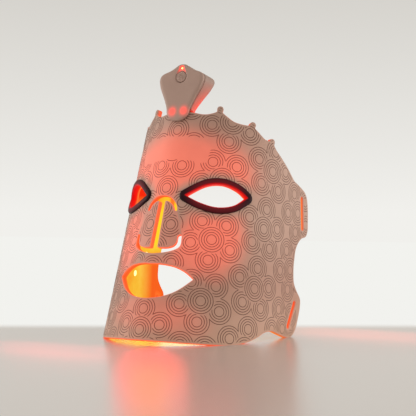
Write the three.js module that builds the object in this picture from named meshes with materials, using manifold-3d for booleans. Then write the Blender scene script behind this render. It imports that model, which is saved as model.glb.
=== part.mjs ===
// LED face mask: a flexible light-therapy mask bent round a face, with a controller at the forehead.
// Millimetres, +Z up. The mask faces -Y, +X is the wearer's left, and it stands on the plane z = 0.
//
// The sheet is designed flat and then bent. Flat x runs round the face from the nose line, flat y
// runs up the face, and depth runs inwards from the outer face. The bent sheet is part of a wide
// cone whose straight rulings all meet at one apex far above and behind the face, so the flat
// pattern keeps its true size when it is bent.
import * as THREE from 'three';
import { mergeVertices } from 'three/addons/utils/BufferGeometryUtils.js';
import Module from 'manifold-3d';

const wasm = await Module();
wasm.setup();
const degrees = Math.PI / 180;

// ---------------------------------------------------------------- driving dimensions
const APEX = new THREE.Vector3(0, 651, 1933); // where the rulings meet, seen from the foot of the nose line
const SLANT = APEX.length(); // distance from the apex down the nose line to flat y = 0
const SECTION = [
  // level section from the nose line to the ear: [arc length, turn in degrees, number of flat facets]
  [7, 11, 1],
  [9, 9.5, 1],
  [41, 25, 3],
  [29, 23, 2],
  [23, 12, 2],
  [21, 9, 1],
  [45, 0, 1],
];
const CENTER_Y = 75.66; // half way from the front of the mask to the back, from the foot of the nose line
const FLOOR_Z = -15.1; // the surface it stands on, from flat y = 0

const OUTER_SKIN = [0, 1.3]; // depth of each layer's two faces
const INNER_SKIN = [1.6, 4.5];
const CIRCUIT = [1.6, 2];
const CIRCUIT_POCKET_DEPTH = 3.1;
const FACET_TOLERANCE = 0.01; // triangles this close to one plane are merged
const SEAM = 3; // how far the skins are joined in from every edge
const GAP = 0.4; // clearance round the pieces let into one another
const TAB_START = 134; // the circuit stops here, and the strap tabs beyond it are plain silicone

const HINGE_STATION = 109; // arc length of the ruling that each side panel bends on
const HINGE_GAP = 1.5;

const LED_PITCH = 24;
const LED_ROWS = 9;
const LED_COLUMNS = 7; // to each side of the middle one
const LED_SIZE = 2;
const LED_HEIGHT = 0.8;
const LED_EDGE = 3;

const KNOB_RADIUS = 2.8;
const SLOT_WIDTH = 4;
const TONGUE = { halfWidth: 5.5, low: 178, top: 192 }; // the sheet's own strip, held between the covers
const TAIL = { halfWidth: 4, low: 172, top: 196, room: [0, 2.3] }; // the circuit's strip, up to its connector
const FLAP_DEPTH = [0, 3];
const FLAT_SPACE = { x: 220, low: -60, high: 240, depth: 9 }; // holds the whole flat sheet

const EYE_COLLAR = 1.5; // wall of the eye surround where it lines the hole
const EYE_RIM = 5.4; // width of the eye surround on the outer face
const EYE_FACE = [-2, -0.3];

const LEAN = 12 * degrees; // the controller leans back this much
const CONTROLLER_TIP = [0, 52.6, 165.6]; // foot of its front face, from the foot of the nose line
const CONTROLLER_SPACE = { x: [-40, 40], top: 60 }; // reaches past the controller on every side
const COVER_WALL = 1.8;
const FRONT_WALL = 2;
const FRONT_COVER = [0, 2.6]; // depths from the controller's front face
const SEAL = [2.9, 4.1];
const SEAL_INSET = 0.6;
const SEAL_WIDTH = 1.4;
const REAR_COVER = [4.4, 21];
const REAR_SLOPE = { from: 6, depth: 10.6, to: 38 }; // the rear face runs out from this depth
const SHEET_END = 10; // height where the sheet ends between the covers, with only its tongue going on
const SHEET_SIDE = 6; // depth that the room for the sheet reaches below that height
const BROW = { halfWidth: 28, y: [150, 184.6] }; // the part of the sheet that lies between the covers
const SOLID_FOOT = 11; // the covers are solid below this height, where they hold the sheet
const BOSSES = { radius: 2.1, front: 7.4, rear: 7.7 }; // depths where those of the two covers meet
const SCREW = { shank: 0.8, head: 1.6, headHeight: 1.4, socket: 0.7, sunk: 0.2 };
const SCREW_FIT = 0.3; // clearance round a screw
const SCREW_COLUMN = [[8.2, 15.4], [16.6, 36]]; // the wearer's left pair
const BUTTON = { y: 38.4, radius: 4.7, flange: 5.5, face: 0.2, wall: 2.3, back: 3.1 };
const LIGHT = { y: 46, radius: 1, face: 0.5, back: 7 };
const RECESS = { round: 5.6, point: 2, depth: 0.8 }; // the dish round the button and its light
const BOARD = [8.6, 9.6];
const UNDER_BOARD = 8.3; // depth where the parts on the board's front side end
const USB = { y: [23.6, 32.4], depth: [10, 13.2], mouth: -17.4, door: -15, end: -10 };
const USB_WALL = 0.4;
const USB_TONGUE = 0.7;
const SWITCH = { half: 3, top: 4.6, plunger: 1.7 };
const CHIP = { x: [5, 10], y: [27, 32], top: 7.3 };
const CONNECTOR = { x: [-4.8, 4.8], y: [22.8, 25.8], top: 6.4 };
const STATUS_CHIP = { half: 0.8, top: 7.3 };
const CELL = { x: [-9, 13], y: [26.5, 41], depth: [10, 14.9] };
const PAD = { x: [-8, 12], y: [29.4, 40.5], depth: [15.2, 15.9] };

// ---------------------------------------------------------------- colours
const material = (color, roughness, metalness = 0, extra = {}) =>
  new THREE.MeshStandardMaterial({ color, roughness, metalness, ...extra });
const silicone = material(0xb08878, 0.62);
const innerSilicone = material(0xf0b48c, 0.45, 0, { transparent: true, opacity: 0.75 });
const circuitFilm = material(0xd8a24a, 0.5);
const blackRubber = material(0x1b1718, 0.42);
const controllerShell = material(0xa58577, 0.55);
const sealRubber = material(0x7d6359, 0.7);
const lightLens = material(0xffd9a0, 0.2);
const boardGreen = material(0x1f5d3a, 0.5);
const chipBlack = material(0x202022, 0.5);
const steel = material(0xb9bcc0, 0.32, 1);
const cellWrap = material(0xc8ccd2, 0.4, 0.3);
const foam = material(0x3c3c40, 0.95);

// ---------------------------------------------------------------- solids and geometries
function toSolid(geometry) {
  const bare = geometry.clone();
  bare.deleteAttribute('normal');
  bare.deleteAttribute('uv');
  const welded = mergeVertices(bare, 1e-4);
  const vertProperties = new Float32Array(welded.attributes.position.array);
  const triVerts = new Uint32Array(welded.index.array);
  return new wasm.Manifold(new wasm.Mesh({ numProp: 3, vertProperties, triVerts }));
}

function toGeometry(solid) {
  const mesh = solid.getMesh();
  const geometry = new THREE.BufferGeometry();
  geometry.setAttribute('position', new THREE.BufferAttribute(new Float32Array(mesh.vertProperties), 3));
  geometry.setIndex(new THREE.BufferAttribute(new Uint32Array(mesh.triVerts), 1));
  return geometry;
}

// A flat plate between two depths below the face z = 0.
function plate(points, [near, far], holes = []) {
  const shape = new THREE.Shape(points);
  shape.holes = holes.map((hole) => new THREE.Path(hole));
  const geometry = new THREE.ExtrudeGeometry(shape, { depth: far - near, bevelEnabled: false });
  return toSolid(geometry.translate(0, 0, -far));
}

function cylinder(x, y, radius, [near, far], sides = 24) {
  const geometry = new THREE.CylinderGeometry(radius, radius, far - near, sides);
  return toSolid(geometry.rotateX(Math.PI / 2).translate(x, y, -(near + far) / 2));
}

function block([x0, x1], [y0, y1], [near, far]) {
  const geometry = new THREE.BoxGeometry(x1 - x0, y1 - y0, far - near);
  return toSolid(geometry.translate((x0 + x1) / 2, (y0 + y1) / 2, -(near + far) / 2));
}

const join = (solids) => solids.reduce((whole, solid) => whole.add(solid));

const vector = ([x, y]) => new THREE.Vector2(x, y);
const mirrored = (points) => points.map((point) => new THREE.Vector2(-point.x, point.y)).reverse();

// Moves each side of a closed outline outwards by a distance, or inwards when it is negative.
function grow(points, distance) {
  const outwards = THREE.ShapeUtils.isClockWise(points) ? -1 : 1;
  return points.map((point, i) => {
    const before = points[(i + points.length - 1) % points.length];
    const after = points[(i + 1) % points.length];
    const sideA = point.clone().sub(before).normalize();
    const sideB = after.clone().sub(point).normalize();
    const normal = new THREE.Vector2(sideA.y + sideB.y, -sideA.x - sideB.x).normalize();
    const spread = Math.max(0.6, normal.x * sideA.y - normal.y * sideA.x);
    return point.clone().addScaledVector(normal, (outwards * distance) / spread);
  });
}

// A smooth line through a few points, without its last point, so that lines can be chained into an outline.
function smooth(points, count) {
  return new THREE.SplineCurve(points.map(vector)).getPoints(count).slice(0, -1);
}

// ---------------------------------------------------------------- bending the flat sheet
function makeStations() {
  const point = new THREE.Vector3();
  const stations = [];
  let heading = 0;
  let arc = 0;
  let swing = 0;
  const addStation = () => {
    const ruling = point.clone().sub(APEX).normalize();
    if (stations.length > 0) swing += ruling.angleTo(stations.at(-1).ruling);
    const along = new THREE.Vector3(Math.cos(heading), Math.sin(heading), 0);
    stations.push({ arc, swing, ruling, normal: ruling.clone().cross(along).normalize() });
  };
  addStation();
  for (const [length, turn, facets] of SECTION) {
    for (let facet = 0; facet < facets; facet += 1) {
      const step = (turn * degrees) / facets;
      const chord = step === 0 ? length / facets : ((length / facets) * Math.sin(step / 2)) / (step / 2);
      point.x += chord * Math.cos(heading + step / 2);
      point.y += chord * Math.sin(heading + step / 2);
      heading += step;
      arc += length / facets;
      addStation();
    }
  }
  return stations;
}

const STATIONS = makeStations();

// The bent place of a flat point: straight across each facet, and square to it where it is off the outer face.
function bendPoint({ x, y, z }) {
  const swing = Math.atan2(Math.abs(x), SLANT - y);
  const slant = Math.hypot(x, SLANT - y);
  let k = 0;
  while (k < STATIONS.length - 2 && swing > STATIONS[k + 1].swing) k += 1;
  const start = STATIONS[k];
  const end = STATIONS[k + 1];
  const width = end.swing - start.swing;
  const share = (swing - start.swing) / width;
  const bent = APEX.clone()
    .addScaledVector(start.ruling, (slant * Math.sin(end.swing - swing)) / Math.sin(width))
    .addScaledVector(end.ruling, (slant * Math.sin(swing - start.swing)) / Math.sin(width))
    .addScaledVector(start.normal, z * (1 - share))
    .addScaledVector(end.normal, z * share);
  bent.x *= Math.sign(x);
  return bent;
}

// Cuts one triangle where it crosses a ruling, and gives the triangles on both sides.
function cutTriangle(triangle, distanceTo) {
  const values = triangle.map(distanceTo).map((value) => (Math.abs(value) < 1e-4 ? 0 : value));
  if (Math.max(...values) <= 0 || Math.min(...values) >= 0) return [triangle];
  const above = [];
  const below = [];
  triangle.forEach((corner, i) => {
    const next = (i + 1) % 3;
    if (values[i] >= 0) above.push(corner);
    if (values[i] <= 0) below.push(corner);
    if (values[i] * values[next] >= 0) return;
    const [low, high] = values[i] < 0 ? [i, next] : [next, i];
    const share = values[low] / (values[low] - values[high]);
    const crossing = triangle[low].clone().lerp(triangle[high], share);
    above.push(crossing);
    below.push(crossing);
  });
  const fan = (corners) => corners.slice(2).map((corner, i) => [corners[0], corners[i + 1], corner]);
  return [...fan(above), ...fan(below)];
}

// Folds a flat solid round the face along the rulings.
function bend(solid) {
  const flat = toGeometry(solid).toNonIndexed().attributes.position;
  const corner = (i) => new THREE.Vector3().fromBufferAttribute(flat, i);
  let triangles = [];
  for (let i = 0; i < flat.count; i += 3) triangles.push([corner(i), corner(i + 1), corner(i + 2)]);
  for (const swing of new Set(STATIONS.flatMap((station) => [station.swing, -station.swing]))) {
    const distanceTo = (p) => p.x * Math.cos(swing) - (SLANT - p.y) * Math.sin(swing);
    triangles = triangles.flatMap((triangle) => cutTriangle(triangle, distanceTo));
  }
  const bent = triangles.flat().flatMap((point) => bendPoint(point).toArray());
  const geometry = new THREE.BufferGeometry();
  geometry.setAttribute('position', new THREE.Float32BufferAttribute(bent, 3));
  return toSolid(geometry).simplify(FACET_TOLERANCE);
}

// ---------------------------------------------------------------- flat outlines
const wholeFrom = (rightHalf) => [...rightHalf, ...mirrored(rightHalf)];

// Right half of the sheet, from the chin round the strap tabs to the top of the forehead.
const SHEET = wholeFrom([
  ...smooth([[6, -11.4], [34, -9.3], [58, -6.4], [76, -2.9], [91, 2.6], [103, 10], [112, 16.8],
    [122, 20.6]], 14),
  ...smooth([[122, 20.6], [145, 21.4], [154, 24.6], [159.6, 33], [162, 48]], 8),
  ...smooth([[162, 48], [161, 58.4], [153, 63.8], [146, 70], [142.4, 82]], 7),
  ...smooth([[142.4, 82], [142.2, 98], [148.4, 108.8], [156.6, 114], [158.2, 121]], 8),
  ...smooth([[158.2, 121], [152.6, 140.5], [146.6, 149.4], [136, 152.2], [124, 153.4]], 8),
  ...smooth([[124, 153.4], [92.4, 169.2]], 1),
  ...smooth([[92.4, 169.2], [86.5, 173.4], [78, 173.8], [71, 177.4], [64.6, 180.8]], 6),
  ...smooth([[64.6, 180.8], [56, 179.8], [48, 180.3], [41, 183.8], [34.8, 187.6]], 6),
  ...smooth([[34.8, 187.6], [29, 184.2], [22, 182.2], [12, 183], [2, 184]], 6),
]);
const KNOBS = [[34.8, 188.8], [64.6, 181.9], [86.6, 174.4]];
const EYE = [
  ...smooth([[19.8, 110.6], [32, 106.3], [46, 104.9], [59, 109.2], [69.4, 118.6]], 9),
  ...smooth([[69.4, 118.6], [61, 122.6], [48, 124.6], [34.5, 121], [19.8, 110.6]], 9),
];
const MOUTH = wholeFrom([
  ...smooth([[3, 22.9], [15.3, 25.6], [27, 32], [38.2, 42.9]], 6),
  ...smooth([[38.2, 42.9], [30, 47.8], [20.5, 50.8], [9, 51.7], [1, 51.4]], 6),
]);
const NOSE = wholeFrom([
  ...smooth([[1, 60], [9, 61.2], [17, 63.8], [22.4, 68.2], [22.3, 77.3]], 8),
  ...smooth([[22.3, 77.3], [14.8, 97.2]], 1),
  ...smooth([[14.8, 97.2], [12.9, 102.6], [7.4, 107.6], [1, 109.3]], 6),
]);
const NOSE_FLAP = [[21.8, 77.1], [14.3, 97], [11.9, 96.9], [10, 101.4], [6.4, 104.5], [2.7, 105.2],
  [3.3, 64.8], [10, 65.1], [16.2, 67], [19.2, 70.6], [19.3, 76.2]].map(vector);
const STRAP_SLOTS = [[[140.8, 143], [148.4, 118.8]], [[151.6, 53], [146, 31]]];

// A slot with round ends about the line between two points.
function slotOutline([from, to], width) {
  const start = vector(from);
  const end = vector(to);
  const angle = end.clone().sub(start).angle();
  const outline = new THREE.Path();
  outline.absarc(end.x, end.y, width / 2, angle - Math.PI / 2, angle + Math.PI / 2);
  outline.absarc(start.x, start.y, width / 2, angle + Math.PI / 2, angle + 1.5 * Math.PI);
  return outline.getPoints(4);
}
const bothSides = (outline) => [outline, mirrored(outline)];

// ---------------------------------------------------------------- the layers of the sheet
const eyeHole = grow(EYE, EYE_COLLAR + GAP);

// A layer of the sheet, inset from every edge and from every hole.
function sheetLayer(depths, inset) {
  const holes = [...bothSides(grow(eyeHole, inset)), grow(MOUTH, inset), grow(NOSE, inset)];
  return plate(grow(SHEET, -inset), depths, holes);
}

function skinLayer(depths) {
  const places = KNOBS.flatMap(([x, y]) => [[x, y], [-x, y]]);
  const knobs = places.map(([x, y]) => cylinder(x, y, KNOB_RADIUS, depths, 12));
  const tongue = block([-TONGUE.halfWidth, TONGUE.halfWidth], [TONGUE.low, TONGUE.top], depths);
  const slots = STRAP_SLOTS.flatMap((line) => bothSides(slotOutline(line, SLOT_WIDTH)));
  const through = [depths[0] - 1, depths[1] + 1];
  const slotCutters = join(slots.map((slot) => plate(slot, through)));
  return join([sheetLayer(depths, 0), ...knobs, tongue]).subtract(slotCutters);
}

// The part of a layer that ends a little before the strap tabs.
function trimTabs(solid, edge) {
  const { low, high, depth } = FLAT_SPACE;
  return solid.intersect(block([-edge, edge], [low, high], [-depth, depth]));
}

// The light chips in staggered rows, wherever the film reaches far enough round them.
function makeLeds(film) {
  const leds = [];
  for (let row = 0; row < LED_ROWS; row += 1) {
    for (let column = -LED_COLUMNS; column <= LED_COLUMNS; column += 1) {
      const x = (column + (row % 2) / 2) * LED_PITCH;
      const y = row * LED_PITCH * Math.sqrt(0.75);
      const square = (half, depths) => block([x - half, x + half], [y - half, y + half], depths);
      const reachesRound = square(LED_SIZE / 2 + LED_EDGE, CIRCUIT).subtract(film).isEmpty();
      const clearOfHinge = Math.abs(Math.abs(x) - hingeX(y)) > HINGE_GAP + LED_EDGE;
      const chip = square(LED_SIZE / 2, [CIRCUIT[0] + 0.1, CIRCUIT[1] + LED_HEIGHT]);
      if (reachesRound && clearOfHinge) leds.push(chip);
    }
  }
  return leds;
}

const hingeSwing = STATIONS.find((station) => station.arc === HINGE_STATION).swing;
const hingeX = (y) => Math.tan(hingeSwing) * (SLANT - y);

// Divides a flat layer at the two rulings that the side panels bend on, then bends each panel.
function panels(layer) {
  const { x: wide, low, high, depth } = FLAT_SPACE;
  const through = [-depth, depth];
  const half = HINGE_GAP / 2;
  const lowHinge = hingeX(low);
  const highHinge = hingeX(high);
  const center = [
    [half - lowHinge, low],
    [lowHinge - half, low],
    [highHinge - half, high],
    [half - highHinge, high],
  ].map(vector);
  const side = [
    [lowHinge + half, low],
    [wide, low],
    [wide, high],
    [highHinge + half, high],
  ].map(vector);
  return {
    center: standing(bend(layer.intersect(plate(center, through)))),
    left: standing(bend(layer.intersect(plate(side, through)))),
    right: standing(bend(layer.intersect(plate(mirrored(side), through)))),
  };
}

// Trims the lowest edges flat, where they rest on the table.
function standing(solid) {
  const { x: wide } = FLAT_SPACE;
  const below = new THREE.BoxGeometry(2 * wide, 2 * wide, wide);
  return solid.subtract(toSolid(below.translate(0, CENTER_Y, FLOOR_Z - wide / 2)));
}

const innerPocket = trimTabs(sheetLayer([CIRCUIT[0] - 1, CIRCUIT_POCKET_DEPTH], SEAM), TAB_START + GAP);
const tailChannel = block(
  [-TAIL.halfWidth - GAP, TAIL.halfWidth + GAP],
  [TAIL.low + 2, TAIL.top + 4],
  TAIL.room,
);
const outerSkin = panels(skinLayer(OUTER_SKIN));
const innerSkin = panels(skinLayer(INNER_SKIN).subtract(innerPocket).subtract(tailChannel));
const circuitBase = trimTabs(sheetLayer(CIRCUIT, SEAM + GAP), TAB_START);
const tail = block([-TAIL.halfWidth, TAIL.halfWidth], [TAIL.low, TAIL.top], CIRCUIT);
const circuit = panels(join([circuitBase, tail, ...makeLeds(circuitBase)]));

function eyeSurround() {
  const face = plate(grow(EYE, EYE_RIM), EYE_FACE, [EYE]);
  const collar = plate(grow(EYE, EYE_COLLAR), [EYE_FACE[0], INNER_SKIN[1]], [EYE]);
  return face.add(collar);
}

// ---------------------------------------------------------------- the mask's own pieces
const mask = new THREE.Group();
mask.position.set(0, -CENTER_Y, -FLOOR_Z);

function addPiece(parent, name, solid, look) {
  const mesh = new THREE.Mesh(toGeometry(solid), look);
  mesh.name = name;
  parent.add(mesh);
}

for (const panel of ['center', 'left', 'right']) {
  const suffix = panel === 'center' ? 'center' : `${panel}_panel`;
  addPiece(mask, `outer_skin_${suffix}`, outerSkin[panel], silicone);
  addPiece(mask, `inner_skin_${suffix}`, innerSkin[panel], innerSilicone);
  addPiece(mask, `led_circuit_${suffix}`, circuit[panel], circuitFilm);
}
addPiece(mask, 'nose_flap_left', bend(plate(NOSE_FLAP, FLAP_DEPTH)), silicone);
addPiece(mask, 'nose_flap_right', bend(plate(mirrored(NOSE_FLAP), FLAP_DEPTH)), silicone);
const surround = eyeSurround();
addPiece(mask, 'eye_surround_left', bend(surround), blackRubber);
addPiece(mask, 'eye_surround_right', bend(surround.mirror([1, 0, 0])), blackRubber);

// ---------------------------------------------------------------- the controller
// Its own frame has x across, y up its front face from the lower tip, and z out of that face.
const controller = new THREE.Group();
controller.position.fromArray(CONTROLLER_TIP);
controller.rotation.x = Math.PI / 2 - LEAN;
mask.add(controller);

const COVER = wholeFrom([
  ...smooth([[1, 0], [6.4, 1.8], [10.4, 6], [11.7, 12], [15.2, 20], [19.8, 29], [21.9, 35.5]], 14),
  ...smooth([[21.9, 35.5], [21.5, 38.8], [19.4, 41.3], [15.6, 42.9]], 5),
  ...smooth([[15.6, 42.9], [11.5, 44.2], [7.5, 46.4], [4, 48.8], [1, 50]], 7),
]);
const INSIDE = grow(COVER, -COVER_WALL);
const SCREW_PLACES = SCREW_COLUMN.flatMap(([x, y]) => [[x, y], [-x, y]]);
const { x: ACROSS, top: ABOVE } = CONTROLLER_SPACE;

// A prism across the controller: its outline is given by [y, depth] corners.
function prism(corners) {
  const width = ACROSS[1] - ACROSS[0];
  const shape = new THREE.Shape(corners.map(([y, depth]) => new THREE.Vector2(depth, y)));
  const geometry = new THREE.ExtrudeGeometry(shape, { depth: width, bevelEnabled: false });
  const axes = new THREE.Matrix4().makeBasis(
    new THREE.Vector3(0, 0, -1),
    new THREE.Vector3(0, 1, 0),
    new THREE.Vector3(1, 0, 0),
  );
  return toSolid(geometry.translate(0, 0, ACROSS[0]).applyMatrix4(axes));
}

// Brings a solid from the mask's frame into the controller's.
function intoController(solid) {
  controller.updateMatrixWorld(true);
  const intoFrame = controller.matrix.clone().invert();
  return toSolid(toGeometry(solid).toNonIndexed().applyMatrix4(intoFrame));
}

// The room that the sheet, its tongue and the circuit's tail take up between the covers.
function sheetRoom() {
  const depths = [-GAP, INNER_SKIN[1] + GAP];
  const brow = block([-BROW.halfWidth, BROW.halfWidth], BROW.y, depths);
  const tongueHalf = TONGUE.halfWidth + GAP;
  const tongue = block([-tongueHalf, tongueHalf], [TONGUE.low + 2, TONGUE.top + GAP], depths);
  return intoController(bend(brow.add(tongue)));
}

// Depth of the rear face at a height up the controller.
function rearDepth(y) {
  const share = (y - REAR_SLOPE.from) / (REAR_SLOPE.to - REAR_SLOPE.from);
  return THREE.MathUtils.lerp(REAR_SLOPE.depth, REAR_COVER[1], THREE.MathUtils.clamp(share, 0, 1));
}

// Everything in front of the rear face, or of a face that lies a little further in.
function beforeRear(inset) {
  const heights = [-1, REAR_SLOPE.from, REAR_SLOPE.to, ABOVE];
  const back = heights.map((y) => [y, rearDepth(y) - inset]);
  return prism([[heights[0], -1], ...back, [heights.at(-1), -1]]);
}

const room = sheetRoom();
const aboveFoot = block(ACROSS, [SOLID_FOOT, ABOVE], [-1, REAR_COVER[1]]);
const beforeSheet = block(ACROSS, [-1, SHEET_END], [0, SHEET_SIDE]);

function atScrews(radius, depths, sides) {
  return join(SCREW_PLACES.map(([x, y]) => cylinder(x, y, radius, depths(y), sides)));
}

// Depth of a screw's outer end, just under the rear face.
const screwEnd = (y) => rearDepth(y - SCREW.head) - SCREW.sunk;
const headFrom = (y) => screwEnd(y) - SCREW.headHeight;

function makeFrontCover() {
  const recess = plate(teardrop(RECESS.round, RECESS.point), [-1, RECESS.depth]);
  const cavity = plate(INSIDE, [FRONT_WALL, FRONT_COVER[1] + 1]).intersect(aboveFoot);
  const bosses = atScrews(BOSSES.radius, () => [FRONT_WALL - 0.2, BOSSES.front], 16);
  const pilots = atScrews(SCREW.shank + SCREW_FIT, () => [FRONT_WALL + 0.6, BOSSES.front + 1], 12);
  const buttonHole = cylinder(0, BUTTON.y, BUTTON.radius + 0.3, [-1, FRONT_WALL + 1]);
  const lightHole = cylinder(0, LIGHT.y, LIGHT.radius + 0.3, [-1, FRONT_WALL + 1], 16);
  return plate(COVER, FRONT_COVER)
    .subtract(cavity)
    .add(bosses)
    .subtract(join([recess, pilots, buttonHole, lightHole]));
}

// A shallow dish round the button, drawn up to a point at the status light.
function teardrop(wide, narrow) {
  const outline = new THREE.Path();
  const lean = Math.asin((wide - narrow) / (LIGHT.y - BUTTON.y));
  outline.absarc(0, LIGHT.y, narrow, lean, Math.PI - lean);
  outline.absarc(0, BUTTON.y, wide, Math.PI - lean, 2 * Math.PI + lean);
  return outline.getPoints(8);
}

function makeRearCover() {
  const shell = plate(COVER, REAR_COVER).intersect(beforeRear(0));
  const cavity = plate(INSIDE, [REAR_COVER[0] - 1, REAR_COVER[1]]).intersect(beforeRear(COVER_WALL));
  const bosses = atScrews(BOSSES.radius, (y) => [BOSSES.rear, rearDepth(y) - 0.5], 16);
  const shanks = atScrews(SCREW.shank + SCREW_FIT, () => [0, REAR_COVER[1] + 1], 12);
  const heads = atScrews(SCREW.head + 0.2, (y) => [headFrom(y) - SCREW_FIT, REAR_COVER[1] + 1], 16);
  const [low, high] = USB.y;
  const [near, far] = USB.depth;
  const usbDoor = block([ACROSS[0], USB.door], [low - GAP, high + GAP], [near - GAP, far + GAP]);
  return shell
    .subtract(cavity.intersect(aboveFoot))
    .add(bosses)
    .subtract(join([room, beforeSheet, usbDoor, shanks, heads]));
}

function makeSeal() {
  const inside = grow(COVER, -SEAL_INSET - SEAL_WIDTH);
  return plate(grow(COVER, -SEAL_INSET), SEAL, [inside]).subtract(beforeSheet);
}

function makeScrew([x, y]) {
  const head = cylinder(x, y, SCREW.head, [headFrom(y), screwEnd(y)], 14);
  const shank = cylinder(x, y, SCREW.shank, [FRONT_WALL + 1, headFrom(y) + 0.2], 10);
  const socket = cylinder(x, y, SCREW.socket, [screwEnd(y) - 0.7, screwEnd(y) + 1], 6);
  return head.add(shank).subtract(socket);
}

function makeButton() {
  const cap = cylinder(0, BUTTON.y, BUTTON.radius, [BUTTON.face, BUTTON.wall + 0.1], 28);
  const flange = cylinder(0, BUTTON.y, BUTTON.flange, [BUTTON.wall, BUTTON.back], 28);
  return cap.add(flange);
}

const BOARD_OUTLINE = wholeFrom([
  ...smooth([[13, 22], [13, 39]], 1),
  ...smooth([[13, 39], [2.4, 46.8]], 1),
  new THREE.Vector2(2.4, 46.8),
]);

// A part on the front side of the board.
const onBoard = (x, y, top) => block(x, y, [top, UNDER_BOARD]);

function makeTactSwitch() {
  const { half, top, plunger } = SWITCH;
  const body = onBoard([-half, half], [BUTTON.y - half, BUTTON.y + half], top);
  return body.add(cylinder(0, BUTTON.y, plunger, [BUTTON.back + 0.9, top + 0.4], 16));
}

function makeStatusLed() {
  const { half, top } = STATUS_CHIP;
  return onBoard([-half, half], [LIGHT.y - 0.5, LIGHT.y + 0.5], top);
}

function makeUsbSocket() {
  const { y: [low, high], depth: [near, far], mouth, end } = USB;
  const shell = block([mouth, end], [low, high], [near, far]);
  const boreDepth = [near + USB_WALL, far - USB_WALL];
  const bore = block([mouth - 1, end - 1], [low + USB_WALL, high - USB_WALL], boreDepth);
  const middle = (near + far) / 2;
  const contacts = [middle - USB_TONGUE / 2, middle + USB_TONGUE / 2];
  return shell.subtract(bore).add(block([mouth + 1, end - 0.5], [low + 1.4, high - 1.4], contacts));
}

const lens = cylinder(0, LIGHT.y, LIGHT.radius, [LIGHT.face, LIGHT.back], 16);
addPiece(controller, 'front_cover', makeFrontCover(), controllerShell);
addPiece(controller, 'rear_cover', makeRearCover(), controllerShell);
addPiece(controller, 'cover_seal', makeSeal(), sealRubber);
addPiece(controller, 'power_button', makeButton(), controllerShell);
addPiece(controller, 'status_light_lens', lens, lightLens);
addPiece(controller, 'control_board', plate(BOARD_OUTLINE, BOARD), boardGreen);
addPiece(controller, 'tact_switch', makeTactSwitch(), chipBlack);
addPiece(controller, 'status_led', makeStatusLed(), lightLens);
addPiece(controller, 'main_chip', onBoard(CHIP.x, CHIP.y, CHIP.top), chipBlack);
addPiece(controller, 'tail_connector', onBoard(CONNECTOR.x, CONNECTOR.y, CONNECTOR.top), chipBlack);
addPiece(controller, 'usb_c_socket', makeUsbSocket(), steel);
addPiece(controller, 'battery_cell', block(CELL.x, CELL.y, CELL.depth), cellWrap);
addPiece(controller, 'battery_pad', block(PAD.x, PAD.y, PAD.depth), foam);
SCREW_PLACES.forEach((place, i) => {
  addPiece(controller, `cover_screw_${i + 1}`, makeScrew(place), steel);
});

const part = new THREE.Group();
part.add(mask);
export default part;
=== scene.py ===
"""The looks of the LED face mask: silicone bent on a cone, rubber rims round the eyes, and a controller.

Lengths are millimetres until a point is placed, and metres after that. The sheet is drawn flat, as it is cut:
x runs round the face from the nose line, y up the face, and depth inwards from the outer face.
"""
import math

import bpy
import numpy as np
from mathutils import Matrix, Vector
from mathutils.geometry import delaunay_2d_cdt
from mathutils.kdtree import KDTree


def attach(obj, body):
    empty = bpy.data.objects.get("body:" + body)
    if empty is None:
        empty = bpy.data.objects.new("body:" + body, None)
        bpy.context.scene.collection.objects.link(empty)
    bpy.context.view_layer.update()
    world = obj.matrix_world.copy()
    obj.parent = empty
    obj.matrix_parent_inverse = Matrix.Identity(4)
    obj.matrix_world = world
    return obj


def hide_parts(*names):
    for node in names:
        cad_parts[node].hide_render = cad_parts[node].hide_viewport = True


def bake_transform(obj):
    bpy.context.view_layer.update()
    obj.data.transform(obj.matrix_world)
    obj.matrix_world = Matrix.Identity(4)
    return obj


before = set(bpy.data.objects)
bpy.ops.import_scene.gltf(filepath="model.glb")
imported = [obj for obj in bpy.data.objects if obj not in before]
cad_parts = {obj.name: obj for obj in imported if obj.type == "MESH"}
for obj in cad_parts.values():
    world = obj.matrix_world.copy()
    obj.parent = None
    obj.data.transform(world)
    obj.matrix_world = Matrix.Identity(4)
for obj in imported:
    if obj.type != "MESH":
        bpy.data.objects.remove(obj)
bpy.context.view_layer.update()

MM = 0.001
SIDES = {"left": 1, "right": -1}  # the wearer's own left and right, and the sign of flat x there

# ---- driving dimensions of the sheet
APEX = np.array([0.0, 651.0, 1933.0])  # where the straight rulings meet, from the foot of the nose line
SLANT = float(np.linalg.norm(APEX))
SECTION = [(7, 11), (9, 9.5), (41, 25), (29, 23), (23, 12), (21, 9), (45, 0)]  # arc length, turn in degrees
FOOT = np.array([0.0, -75.66, 15.1])  # the foot of the nose line in the CAD frame
SKIN_PARTING = 1.5  # depth where the outer skin meets the inner one
SHEET_DEPTH = 4.5
EDGE_ROUND = 0.5
FILM_DEPTH = (1.9, 2.1)
FILM_INSET = 3.4
TAB_START = 134.0
SEAM_ARC = 90.0  # the wearer's right side panel is a piece of its own beyond this ruling
HINGE_ARC = 109.0
BEND_HEIGHT = 80.0  # flat y where that is measured
FLAP_REACH = 6.0
GRID = 3.2  # spacing of the points inside a face
GRID_CLEARANCE = 0.62  # share of that spacing kept clear along its edges

LED_PITCH = 24.0
LED_CLEARANCE = 7.4
WINDOW_RADIUS = 2.7
WINDOW_HEIGHT = 0.5
WINDOW_DOME = ((1.0, -0.3), (0.97, 0.12), (0.72, 0.62), (0.4, 0.9))  # shares of that radius and height

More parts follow.
